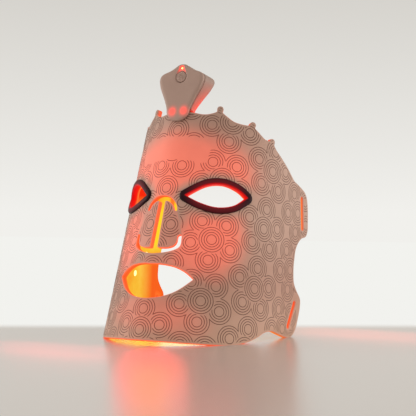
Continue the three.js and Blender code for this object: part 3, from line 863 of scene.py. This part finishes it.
def build_flap(side):
    loop = FLAP if side == "left" else mirrored(FLAP)
    free = ~on_root(loop)
    rounded = softened(loop, 3)
    loop = np.where(free[:, None], rounded, loop)
    body = Body(on_sheet, MARKS)
    out = normals_of(loop)
    profile = [(inset, depth, share) for (inset, depth), share in zip(rounding(EDGE_ROUND), EDGE_SHARES)]
    profile += [(0.0, SKIN_PARTING, 1.0), (0.0, SHEET_DEPTH - 1, 1.0), (0.3, SHEET_DEPTH - 0.1, 1.0)]
    rings = []
    for inset, depth, share in profile:
        place = loop - out * (inset * free)[:, None]
        rings.append(body.ring(place, depth, glow=FLAP_GLOW, edge=share * free, inner=depth / SHEET_DEPTH))
    body.wall(rings)
    body.patch(rings[0], [], 0.0, 1.6, glow=FLAP_GLOW)
    body.patch(rings[-1], [], SHEET_DEPTH - 0.1, 1.6, back=True, edge=1.0, inner=1.0)
    ob = dress(body.piece(f"nose_flap_{side}_bent"), SILICONE)
    bend_flap(ob, side)
    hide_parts(f"nose_flap_{side}")


def bend_flap(ob, side):
    """Works out two points from one nose flap's root inwards, which nothing uses, and bakes the piece's
    transform into its mesh.
    """
    middle = FLAP_ROOT.mean(0)
    along = FLAP_ROOT[1] - FLAP_ROOT[0]
    into = np.array([-along[1], along[0]]) / np.linalg.norm(along)
    into *= -np.sign(into[0])
    points = on_sheet(np.array([middle, middle + FLAP_REACH * into]) * [SIDES[side], 1], 0)
    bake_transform(ob)


for side in SIDES:
    build_flap(side)

# ---- the moulded rings

def flowers():
    """Every flower of the pattern: its middle and the middles of its five petals."""
    found = []
    for column in range(-4, 4):
        base, turn = FLOWER_ROWS[column % 2]
        for row in range(-1, 5):
            middle = np.array([COLUMN_START + column * COLUMN_PITCH, base + row * ROW_PITCH])
            angles = np.radians(turn + 72 * np.arange(5))
            petals = middle + PETAL_DISTANCE * np.stack([np.cos(angles), np.sin(angles)], 1)
            found.append((middle, petals))
    return found


def kept_points(points, disc, middle, rivals):
    """Which points of a ring are moulded: clear of the flower's middle disc and of the next discs."""
    kept = np.ones(len(points), bool)
    own = np.linalg.norm(points - disc, axis=1)
    if middle is not None:
        kept &= np.linalg.norm(points - middle, axis=1) > RING_RADII[-1] + RING_GAP
    for other in rivals:
        kept &= np.linalg.norm(points - other, axis=1) > own - 0.02
    return kept


RIM_OVERLAP = 0.8  # the rings reach this far in under the rims of the eye surrounds
MARGIN = EDGE_ROUND + RING_WIDTH / 2
SHRUNK_EDGE = grown(EDGE, -MARGIN)
SHRUNK_FLAP = softened(grown(FLAP, -MARGIN), 1)
GROWN_HOLES = [grown(hole, EYE_RIM - SKIN_UNDER_RIM - RIM_OVERLAP) for hole in EYE_HOLES]
GROWN_HOLES += [grown(hole, MARGIN) for hole in (MOUTH, NOSE, *SLOTS)]


def on_silicone(points):
    """0 off the sheet or where it is plain, 1 on the sheet, 2 on the left nose flap, 3 on the right one."""
    place = np.zeros(len(points), int)
    sheet = inside(points, SHRUNK_EDGE)
    for hole in GROWN_HOLES:
        sheet &= ~inside(points, hole)
    place[sheet] = 1
    place[inside(points, SHRUNK_FLAP)] = 2
    place[inside(points, mirrored(SHRUNK_FLAP))] = 3
    (x0, x1), (y0, y1) = PLAIN_BROW
    brow = (points[:, 0] > x0) & (points[:, 0] < x1) & (points[:, 1] > y0) & (points[:, 1] < y1)
    place[brow] = 0
    return place


def raise_line(body, line, closed):
    """Adds one raised line, with tapered ends where it isn't closed."""
    ahead, behind = np.roll(line, -1, 0), np.roll(line, 1, 0)
    if not closed:
        ahead[-1], behind[0] = line[-1], line[0]
    side = ahead - behind
    side = np.stack([-side[:, 1], side[:, 0]], 1) / np.linalg.norm(side, axis=1)[:, None]
    width = np.full(len(line), RING_WIDTH / 2)
    height = np.full(len(line), RING_HEIGHT)
    if not closed:
        width[[0, -1]] *= 0.35
        height[[0, -1]] *= 0.2
    section = ((-1.0, RING_ROOT), (-0.5, -height), (0.5, -height), (1.0, RING_ROOT))
    lines = np.array([body.ring(line + side * (across * width)[:, None], depth) for across, depth in section])
    around = np.roll(lines, -1, 0)
    quads = np.stack([lines, np.roll(lines, -1, 1), np.roll(around, -1, 1), around], 2)
    body.faces.extend(quads[:, :None if closed else -1].reshape(-1, 4).tolist())
    if not closed:
        body.faces += [lines[:, 0].tolist(), lines[::-1, -1].tolist()]


def ring_piece(body, name):
    body.marks["glow"] = lit_by_leds(body.flat)
    return dress(body.piece(name, sharp=80), RINGS)


def runs_of(kept):
    """The unbroken runs of a closed ring's kept points, as lists of positions."""
    if kept.all():
        return [(np.arange(len(kept)), True)]
    if not kept.any():
        return []
    first = int(np.flatnonzero(~kept)[0])
    order = np.roll(np.arange(len(kept)), -first)
    found, run = [], []
    for i in order:
        if kept[i]:
            run.append(i)
        elif run:
            found.append((np.array(run), False))
            run = []
    if run:
        found.append((np.array(run), False))
    return [(run, closed) for run, closed in found if len(run) >= 3]


def build_rings():
    strands = {name: Body(on_sheet) for name in ("left", "right", "flap_left", "flap_right")}
    every = flowers()
    discs = [(middle, None) for middle, _ in every]
    discs += [(petal, middle) for middle, petals in every for petal in petals]
    places = np.array([disc for disc, _ in discs])
    rings, clear = [], []
    for disc, owner in discs:
        away = np.linalg.norm(places - disc, axis=1)
        rivals = [] if owner is None else [
            other for other, gap in zip(places, away)
            if 0.1 < gap < 2 * RING_RADII[-1] + 1 and np.linalg.norm(other - owner) > 0.1
        ]
        for radius in RING_RADII:
            ring = circle(*disc, radius, int(18 + radius * 3.6))
            rings.append(ring)
            clear.append(kept_points(ring, disc, owner, rivals))
    spots = on_silicone(np.vstack(rings))
    start = 0
    for ring, kept in zip(rings, clear):
        spot = spots[start:start + len(ring)]
        start += len(ring)
        side = "left" if ring[:, 0].mean() > 0 else "right"
        for code, name in ((1, side), (2, "flap_left"), (3, "flap_right")):
            for run, closed in runs_of(kept & (spot == code)):
                raise_line(strands[name], ring[run], closed)
    for side in SIDES:
        bend_panel(ring_piece(strands[side], f"moulded_rings_{side}"), side)
        bend_flap(ring_piece(strands[f"flap_{side}"], f"moulded_rings_flap_{side}"), side)


build_rings()

# ---- the light windows

def window_places():
    places = []
    for row in range(9):
        for column in range(-7, 8):
            places.append(((column + row % 2 / 2) * LED_PITCH, row * LED_PITCH * math.sqrt(0.75)))
    places = np.array(places)
    loops = [EDGE, *EYE_HOLES, MOUTH, NOSE]
    kept = inside(places, EDGE) & (gap_to(places, *loops) > LED_CLEARANCE)
    kept &= np.abs(places[:, 0]) < TAB_START - 4
    for hole in loops[1:]:
        kept &= ~inside(places, hole)
    return places[kept]


def build_windows(side):
    """Low clear domes on the inner face, one in front of each light chip."""
    body = Body(on_sheet)
    for x, y in window_places():
        if (x >= 0) != (side == "left"):
            continue
        rings = [body.ring(circle(x, y, WINDOW_RADIUS * radius, 14), SHEET_DEPTH + WINDOW_HEIGHT * height)
                 for radius, height in WINDOW_DOME]
        body.wall(rings)
        body.faces += [rings[-1][::-1].tolist(), rings[0].tolist()]
    bend_panel(dress(body.piece(f"light_windows_{side}"), WINDOWS), side)


for side in SIDES:
    build_windows(side)

# ---- the eye surrounds

def fanned(runs, step=0.9, fan=9):
    """Points and outward normals of a closed outline, with a fan of normals at each of its corners."""
    points, normals = [], []
    pieces = [spline(run, step) for run in runs]
    ends = [p[0] for p in pieces]
    for k, run in enumerate(pieces):
        line = np.vstack([run, ends[(k + 1) % len(pieces)]])
        side = np.gradient(line, axis=0)
        out = np.stack([side[:, 1], -side[:, 0]], 1)
        out /= np.linalg.norm(out, axis=1)[:, None]
        points.extend(line)
        normals.extend(out)
        later = pieces[(k + 1) % len(pieces)]
        ahead = later[1] - later[0]
        first = math.atan2(out[-1][1], out[-1][0])
        last = math.atan2(-ahead[0], ahead[1])
        turn = (last - first) % (2 * math.pi)
        for share in np.linspace(0, 1, fan)[1:-1]:
            points.append(line[-1])
            normals.append([math.cos(first + turn * share), math.sin(first + turn * share)])
    return np.array(points), np.array(normals)


EYE_MIDDLE = 44.6  # flat x half way along each eye hole
EYE_CORNER = 26.0  # from there to its corners, where the rim stays black
# how far the painted red light fades towards those corners
EYE_LIGHT_FADE = 12.0


def build_surround(side):
    """A rubber rim with a soft crown outside the sheet, and a collar that lines the eye hole."""
    points, normals = fanned(EYE_RUNS)
    tuck = 0.9
    skeleton = points - normals * tuck
    if side == "right":
        skeleton, normals = mirrored(skeleton), mirrored(normals)
    rim = EYE_RIM + tuck
    profile = [
        # offset from the skeleton, depth, share of painted red LED light
        (tuck, 4.6, 1.0), (tuck, 3.4, 0.8), (tuck, 2.2, 0.68), (tuck, 1.0, 0.56), (tuck, -0.2, 0.44),
        (tuck + 0.15, -1.0, 0.44), (tuck + 0.6, -1.6, 0.36), (tuck + 1.3, -1.9, 0.26),
        (tuck + 2.4, -EYE_PROUD, 0.22),
        (rim - 1.4, -1.8, 0.17), (rim - 0.55, -1.35, 0.1), (rim - 0.1, -0.75, 0.04), (rim, -0.1, 0.0),
        (rim - 0.2, 0.1, 0.0), (tuck + 1.5, 0.1, 0.0), (tuck + 1.5, 4.6, 0.6),
    ]
    body = Body(on_sheet, ("warmth",))
    # painted red LED light: the rim's face takes it in its middle, and its two corners stay black
    warm = np.clip((EYE_CORNER - abs(abs(skeleton[:, 0]) - EYE_MIDDLE)) / EYE_LIGHT_FADE, 0, 1)
    rings = []
    for offset, depth, warmth in profile:
        share = warm if offset > tuck + 1 else 1
        rings.append(body.ring(skeleton + normals * offset, depth, warmth=warmth * share))
    body.wall([*rings, rings[0]])
    ob = dress(body.piece(f"eye_surround_{side}_moulded", sharp=60), EYE_RUBBER)
    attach(ob, "mask_center")
    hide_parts(f"eye_surround_{side}")


for side in SIDES:
    build_surround(side)

# ---- the controller

TIP = np.array([0.0, 52.6, 165.6])  # the lowest point of its front face, from the foot of the nose line
LEAN = math.radians(12)
COVER_RUNS = [
    [[1, 0], [6.4, 1.8], [10.4, 6], [11.7, 12], [15.2, 20], [19.8, 29], [21.9, 35.5]],
    [[21.9, 35.5], [21.5, 38.8], [19.4, 41.3], [15.6, 42.9]],
    [[15.6, 42.9], [11.5, 44.2], [7.5, 46.4], [4, 48.8], [1, 50]],
]
COVER = softened(whole_from(chain(*COVER_RUNS, step=0.8)), 3)
COVER_WALL = 1.8
FRONT_BACK = 2.6
FRONT_FLOOR = 2.2  # depth of the back inside its raised edge
FRONT_ROUND = 1.5
ROUND_WIDTHS = ((38.0, 44.0), (3.2, 1.2))  # heights, and how far in the front's rounded edge reaches there
REAR_FRONT = 4.4
REAR_ROUND = 2.4
REAR_FLOOR = 3.0
REAR_SLOPE = ((6.0, 38.0), (10.6, 21.0))  # heights, and depths of the rear face
SHEET_END = (9.4, 10.4)  # heights where the rear shell steps forward, above the sheet's top edge
BEHIND_SHEET = 9.2
SEAL = (2.65, 4.35)
SEAL_INSET = 0.3
SEAL_WIDTH = 1.4
BUTTON_HEIGHT = 38.4
BUTTON_RADIUS = 4.7
LIGHT_HEIGHT = 46.0
LIGHT_RADIUS = 1.0
LIGHT_BACK = 7.0
RECESS_DEPTH = 0.8
RECESS_WIDE = 5.6
RECESS_NARROW = 1.9
TIP_SPOTS = ((6.6, 8.7), (-4.6, 8.3))
TIP_SPOT_RADIUS = 3.5
SCREWS = ((8.2, 15.4), (-8.2, 15.4), (16.6, 36), (-16.6, 36))
SCREW_HOLE = 1.9
SCREW_SINK = 2.4
USB_DOOR = ((23.1, 32.9), (9.5, 13.7))  # up the face, and depth


def on_controller(flat, depth):
    """Points in metres, in the CAD frame, from x across, y up the front face and depth behind it."""
    x, y = rows_of(flat).T
    depth = np.broadcast_to(depth, len(x))
    back = math.sin(LEAN) * y + math.cos(LEAN) * depth
    up = math.cos(LEAN) * y - math.sin(LEAN) * depth
    return (np.stack([x, back, up], 1) + TIP + FOOT) * MM


def teardrop(extra=0.0, steps=18):
    """The dish round the button, drawn up to the status light."""
    wide, narrow = RECESS_WIDE + extra, RECESS_NARROW + extra
    lean = math.asin((wide - narrow) / (LIGHT_HEIGHT - BUTTON_HEIGHT))
    top = np.linspace(lean, math.pi - lean, steps)
    foot = np.linspace(math.pi - lean, 2 * math.pi + lean, 2 * steps)
    upper = np.stack([narrow * np.cos(top), LIGHT_HEIGHT + narrow * np.sin(top)], 1)
    lower = np.stack([wide * np.cos(foot), BUTTON_HEIGHT + wide * np.sin(foot)], 1)
    return np.vstack([upper, lower])


def rear_depth(loop):
    return np.interp(rows_of(loop)[:, 1], *REAR_SLOPE)


def rear_rim(loop):
    """Depth of the rear shell's front edge, which stands behind the sheet at the lower tip."""
    return np.interp(rows_of(loop)[:, 1], SHEET_END, (BEHIND_SHEET, REAR_FRONT))


def tip_led_light(loop):
    """The two lights that show through the lower tip."""
    loop = rows_of(loop)
    led_share = np.zeros(len(loop))
    for x, y in TIP_SPOTS:
        led_share = np.maximum(led_share, soft_spot(loop, x, y, TIP_SPOT_RADIUS, TIP_SPOT_RADIUS, 0.24))
    return led_share


# painted light of the status light on the top of the dish round the button
def dish_led_light(loop):
    x, y = rows_of(loop).T
    return np.clip((y - 41.5) / 1.5, 0, 1) * np.clip(4.5 - np.abs(x), 0, 1)


def rear_led_light(loop, depth):
    """The rear shell is lit from below and behind."""
    y = rows_of(loop)[:, 1]
    low = np.clip((38 - y) / 26, 0, 1) ** 1.4
    behind = np.clip((np.broadcast_to(depth, len(y)) - REAR_FRONT) / 8, 0, 1)
    return low * (0.35 + 0.6 * behind)


def ride_controller(ob, look, slot, *nodes, body="mask_center"):
    dress(ob, look)
    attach(ob, body)
    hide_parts(*nodes)


def build_front_cover():
    body = Body(on_controller, ("warmth",))
    rings = []
    widths = np.interp(COVER[:, 1], *ROUND_WIDTHS)[:, None]
    for inset, depth in rounding(FRONT_ROUND, 6):
        loop = grown(COVER, -widths * inset / FRONT_ROUND)
        rings.append(body.ring(loop, depth, warmth=tip_led_light(loop)))
    for inset, depth in ((0, 2.45), (0.15, FRONT_BACK), (COVER_WALL - 0.1, FRONT_BACK), (COVER_WALL, 2.5),
                         (COVER_WALL, FRONT_FLOOR)):
        rings.append(body.ring(grown(COVER, -inset), depth))
    body.wall(rings)
    dish = []
    for extra, depth in ((0.35, 0.0), (0.12, 0.1), (0.0, 0.35), (-0.1, 0.65), (-0.3, RECESS_DEPTH)):
        loop = teardrop(extra)
        dish.append(body.ring(loop, depth, warmth=dish_led_light(loop)))
    body.wall(dish, hole=True)
    holes, ends = [], []
    for height, radius in ((BUTTON_HEIGHT, BUTTON_RADIUS + 0.3), (LIGHT_HEIGHT, LIGHT_RADIUS + 0.1)):
        # painted light: the status light's hole wall is lit all round, and the button's hole is not
        warm = 1.0 if height == LIGHT_HEIGHT else 0.0
        loops = ((radius + 0.08, RECESS_DEPTH), (radius, RECESS_DEPTH + 0.1), (radius, FRONT_FLOOR))
        hole = [body.ring(circle(0, height, r), depth, warmth=warm) for r, depth in loops]
        body.wall(hole, hole=True)
        holes.append(hole[0])
        ends.append(hole[-1])
    body.shade("warmth", body.patch(rings[0], [dish[0]], 0.0, 1.3), tip_led_light)
    body.shade("warmth", body.patch(dish[-1], holes, RECESS_DEPTH, 0.9), dish_led_light)
    body.patch(rings[-1], ends, FRONT_FLOOR, 3.0, back=True)
    ride_controller(body.piece("front_cover_shell"), SHELL, "controller_shell", "front_cover")


def rear_roundness(loop):
    """The rear edge is rounded less where the shell is thin behind the sheet."""
    return np.interp(rows_of(loop)[:, 1], SHEET_END, (0.3, 1.0))


def rear_wall(loop, share):
    """Depth on the rear shell's side wall, at a share of the way from its rim to its rounded edge."""
    start = rear_rim(loop) + 0.25
    return start + share * (rear_depth(loop) - REAR_ROUND * rear_roundness(loop) - start)


def build_rear_cover():
    body = Body(on_controller, ("warmth",))
    lip = 0.25
    profile = [
        (COVER_WALL, lambda loop: np.maximum(rear_depth(loop) - REAR_FLOOR, rear_rim(loop) + 2 * lip)),
        (COVER_WALL, lambda loop: rear_rim(loop) + lip), (COVER_WALL - lip, rear_rim), (lip, rear_rim),
        (0.0, lambda loop: rear_rim(loop) + lip),
    ]
    for share in (0.25, 0.5, 0.75, 1.0):
        profile.append((0.0, lambda loop, share=share: rear_wall(loop, share)))
    for inset, down in reversed(rounding(REAR_ROUND, 5)[:-1]):
        profile.append((inset, lambda loop, down=down: rear_depth(loop) - down * rear_roundness(loop)))
    rings = []
    for inset, depth in profile:
        loop = grown(COVER, -inset)
        depths = depth(loop) if callable(depth) else depth
        rings.append(body.ring(loop, depths, warmth=rear_led_light(loop, depths)))
    body.wall(rings)
    body.patch(rings[0], [], lambda loop: np.maximum(rear_depth(loop) - REAR_FLOOR,
                                                     rear_rim(loop) + 2 * lip), 3.0)
    mouths = []
    for x, y in SCREWS:
        rim = body.ring(circle(x, y, SCREW_HOLE + 0.15, 20), rear_depth)
        sunk = [body.ring(circle(x, y, SCREW_HOLE, 20), lambda loop, down=down: rear_depth(loop) - down)
                for down in (0.15, SCREW_SINK)]
        body.bridge(sunk[0], rim, hole=True)
        body.bridge(sunk[1], sunk[0], hole=True)
        body.patch(sunk[1], [], lambda loop: rear_depth(loop) - SCREW_SINK, 1.5, back=True)
        mouths.append(rim)
    start = body.patch(rings[-1], mouths, rear_depth, 1.6, back=True)
    body.shade("warmth", start, lambda loop: 0.8 * rear_led_light(loop, rear_depth(loop)))
    ob = body.piece("rear_cover_shell")
    cut_usb_door(ob)
    ride_controller(ob, SHADED_REAR_SHELL, "controller_shell", "rear_cover")


def cut_usb_door(ob):
    """Opens the wearer's right wall of the rear shell for the charging socket."""
    (low, high), (near, far) = USB_DOOR
    half, middle = (far - near) / 2, (far + near) / 2
    turns = np.linspace(-math.pi / 2, math.pi / 2, 9)
    ends = []
    for height, heading in ((high - half, 1), (low + half, -1)):
        y = height + heading * half * np.cos(turns)
        depth = middle + heading * half * np.sin(turns)
        ends.append(np.stack([y, depth], 1))
    section = np.vstack(ends)
    places, count = [], len(section)
    for x in (-30.0, -13.0):
        flat = np.stack([np.full(count, x), section[:, 0]], 1)
        places.append(on_controller(flat, section[:, 1]))
    faces = [[i, (i + 1) % count, count + (i + 1) % count, count + i] for i in range(count)]
    faces += [list(range(count))[::-1], list(range(count, 2 * count))]
    cutter = new_mesh("door_cutter", np.vstack(places), faces)
    change = ob.modifiers.new("door", "BOOLEAN")
    change.operation = "DIFFERENCE"
    change.object = cutter
    change.solver = "EXACT"
    bpy.context.view_layer.update()
    cut = bpy.data.meshes.new_from_object(ob.evaluated_get(bpy.context.evaluated_depsgraph_get()))
    ob.modifiers.clear()
    ob.data = cut
    bpy.data.objects.remove(cutter)


def build_seal():
    body = Body(on_controller)
    outer = COVER[COVER[:, 1] > SHEET_END[1]]
    first = int(np.argmax(np.linalg.norm(outer - np.roll(outer, 1, 0), axis=1)))
    outer = np.roll(outer, -first, 0)
    out = normals_of(COVER)[COVER[:, 1] > SHEET_END[1]]
    out = np.roll(out, -first, 0)
    band = np.vstack([outer - SEAL_INSET * out, (outer - (SEAL_INSET + SEAL_WIDTH) * out)[::-1]])
    near, far = SEAL
    rings = [body.ring(grown(band, -inset), depth)
             for inset, depth in ((0.25, near), (0.0, near + 0.25), (0.0, far - 0.25), (0.25, far))]
    body.close(rings, near, far, 3.0, 3.0)
    ride_controller(body.piece("cover_seal_band"), SHADED_SEAL_RUBBER, "seal_rubber", "cover_seal")


def build_button():
    """A round cap with two moulded rings on its face and a flange behind the cover."""
    profile = [
        # radius, depth
        (0.7, 0.3), (1.1, 0.42), (1.35, 0.1), (1.6, 0.42), (2.3, 0.4), (2.6, 0.06), (2.9, 0.4), (3.6, 0.36),
        (4.1, 0.18), (4.5, 0.42), (BUTTON_RADIUS, 0.9), (BUTTON_RADIUS, 2.3), (5.5, 2.35), (5.5, 3.1),
    ]
    body = Body(on_controller, ("warmth",))
    rings = [body.ring(circle(0, BUTTON_HEIGHT, radius, 40), depth) for radius, depth in profile]
    body.close(rings, profile[0][1], profile[-1][1], 0.6, 3.0)
    ob = body.piece("power_button_cap", 60)
    ride_controller(ob, SHELL, "controller_shell", "power_button", body="button")


def build_lens():
    profile = [(0.45, 0.32), (0.85, 0.42), (1.05, 0.62), (LIGHT_RADIUS, 0.9), (LIGHT_RADIUS, LIGHT_BACK)]
    body = Body(on_controller)
    rings = [body.ring(circle(0, LIGHT_HEIGHT, radius, 24), depth) for radius, depth in profile]
    body.close(rings, profile[0][1], LIGHT_BACK, 0.5, 2.0)
    ride_controller(body.piece("status_light_dome", 60), LENS, "light_lens", "status_light_lens")


build_front_cover()
build_rear_cover()
build_seal()
build_button()
build_lens()

CARRIED = {
    "control_board": (BOARD_GREEN, "circuit_board"),
    "tact_switch": (BLACK_PLASTIC, "black_plastic"),
    "status_led": (LENS, "light_lens"),
    "main_chip": (BLACK_PLASTIC, "black_plastic"),
    "tail_connector": (BLACK_PLASTIC, "black_plastic"),
    "usb_c_socket": (STEEL, "plated_steel"),
    "battery_cell": (CELL_WRAP, "cell_wrap"),
    "battery_pad": (FOAM, "foam_pad"),
}
for number in range(1, 5):
    CARRIED[f"cover_screw_{number}"] = (STEEL, "plated_steel")
for node, (look, slot) in CARRIED.items():
    dress(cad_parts[node], look)

# ---- camera, table and lights

AIM = math.radians(32.5)  # the camera stands to the wearer's left of the nose line
CAMERA_PLACE = (0.5432, -0.8255, 0.1046)
CAMERA_TILT = math.radians(0.224)
TABLE_EDGE = 0.079  # the table's far edge, behind the middle of the mask as the camera sees it
AWAY = (-math.sin(AIM), math.cos(AIM), 0.0)


def make_camera():
    camera = bpy.data.objects.new("camera", bpy.data.cameras.new("camera"))
    camera.location = CAMERA_PLACE
    camera.rotation_euler = (math.pi / 2 + CAMERA_TILT, 0, AIM)
    camera.data.lens = 101.0
    camera.data.sensor_width = 36.0
    camera.data.clip_start = 0.05
    bpy.context.scene.collection.objects.link(camera)
    bpy.context.scene.camera = camera


def table_look():
    """A pale satin table that fades into a white background past its far edge."""
    look = Look("table", 0.27, 0.5)
    look.base.inputs["Metallic"].default_value = 0.66
    grain = look.noise(3.0, 2.0)
    look.paint(look.mix(grain, (221, 216, 212), (227, 222, 218)))
    dot = look.add("ShaderNodeVectorMath", operation="DOT_PRODUCT")
    look.put(dot.inputs[0], look.coords)
    dot.inputs[1].default_value = AWAY
    edge = look.add("ShaderNodeMapRange", interpolation_type="SMOOTHSTEP")
    for socket, number in zip(edge.inputs[1:5], (TABLE_EDGE - 0.02, TABLE_EDGE + 0.035, 0.0, 1.0)):
        look.put(socket, number)
    look.put(edge.inputs["Value"], dot.outputs["Value"])
    white = look.add("ShaderNodeEmission")
    white.inputs["Color"].default_value = colour(242, 242, 238)
    both = look.add("ShaderNodeMixShader")
    look.put(both.inputs[0], edge.outputs["Result"])
    look.tree.links.new(look.base.outputs[0], both.inputs[1])
    look.tree.links.new(white.outputs[0], both.inputs[2])
    output = next(n for n in look.tree.nodes if n.type == "OUTPUT_MATERIAL")
    look.tree.links.new(both.outputs[0], output.inputs["Surface"])
    return look.made


def make_table():
    corners = np.array([[-3, -3, 0], [3, -3, 0], [3, 3, 0], [-3, 3, 0]], float)
    table = new_mesh("table", corners, [[0, 1, 2, 3]])
    table.data.materials.append(table_look())


def make_light(name, place, target, size, power, shade):
    data = bpy.data.lights.new(name, "AREA")
    data.shape = "ELLIPSE"
    data.size, data.size_y = size
    data.energy = power
    data.color = colour(*shade)[:3]
    light = bpy.data.objects.new(name, data)
    light.location = place
    aim = np.array(target, float) - np.array(place, float)
    light.rotation_euler = Vector(aim).to_track_quat("-Z", "Y").to_euler()
    light.visible_camera = False
    bpy.context.scene.collection.objects.link(light)


def make_world():
    world = bpy.data.worlds.new("studio")
    bpy.context.scene.world = world
    world.use_nodes = True
    tree = world.node_tree
    background = tree.nodes["Background"]
    coords = tree.nodes.new("ShaderNodeTexCoord")
    split = tree.nodes.new("ShaderNodeSeparateXYZ")
    ramp = tree.nodes.new("ShaderNodeValToRGB")
    tree.links.new(coords.outputs["Generated"], split.inputs[0])
    tree.links.new(split.outputs[2], ramp.inputs["Fac"])
    tree.links.new(ramp.outputs["Color"], background.inputs["Color"])
    ramp.color_ramp.elements[0].position = 0.0
    ramp.color_ramp.elements[0].color = colour(241, 240, 236)
    ramp.color_ramp.elements[1].position = 0.19
    ramp.color_ramp.elements[1].color = colour(212, 209, 203)
    background.inputs["Strength"].default_value = 1.0


make_camera()
make_table()
make_world()
make_light("key", (0.9, -1.1, 1.2), (0, 0, 0.1), (1.2, 1.2), 4.0, (255, 250, 245))
make_light("left_side", (1.1, 0.8, 0.4), (0, 0, 0.12), (0.8, 0.8), 8.0, (255, 246, 238))
make_light("right_side", (-1.3, -0.5, 0.4), (0, 0, 0.12), (0.8, 0.8), 7.5, (255, 246, 238))
make_light("under_mask", (0, -0.03, 0.03), (0, -0.03, 0), (0.06, 0.05), 0.05, (255, 200, 70))
make_light("before_chin", (-0.055, -0.115, 0.012), (-0.055, -0.115, 0), (0.12, 0.03), 0.009, (255, 60, 60))
make_light("chin_glow", (0.019, -0.087, 0.036), (0.3, -0.55, 0.031), (0.062, 0.071), 0.0095, (255, 16, 14))
make_light("chin_foot", (0.004, -0.092, 0.008), (0.004, -0.092, 0), (0.07, 0.016), 0.0015, (255, 40, 30))
make_light("behind_ear", (0.112, 0.118, 0.01), (0.112, 0.118, 0), (0.16, 0.03), 0.012, (255, 96, 74))
bpy.context.scene.view_settings.view_transform = "Standard"
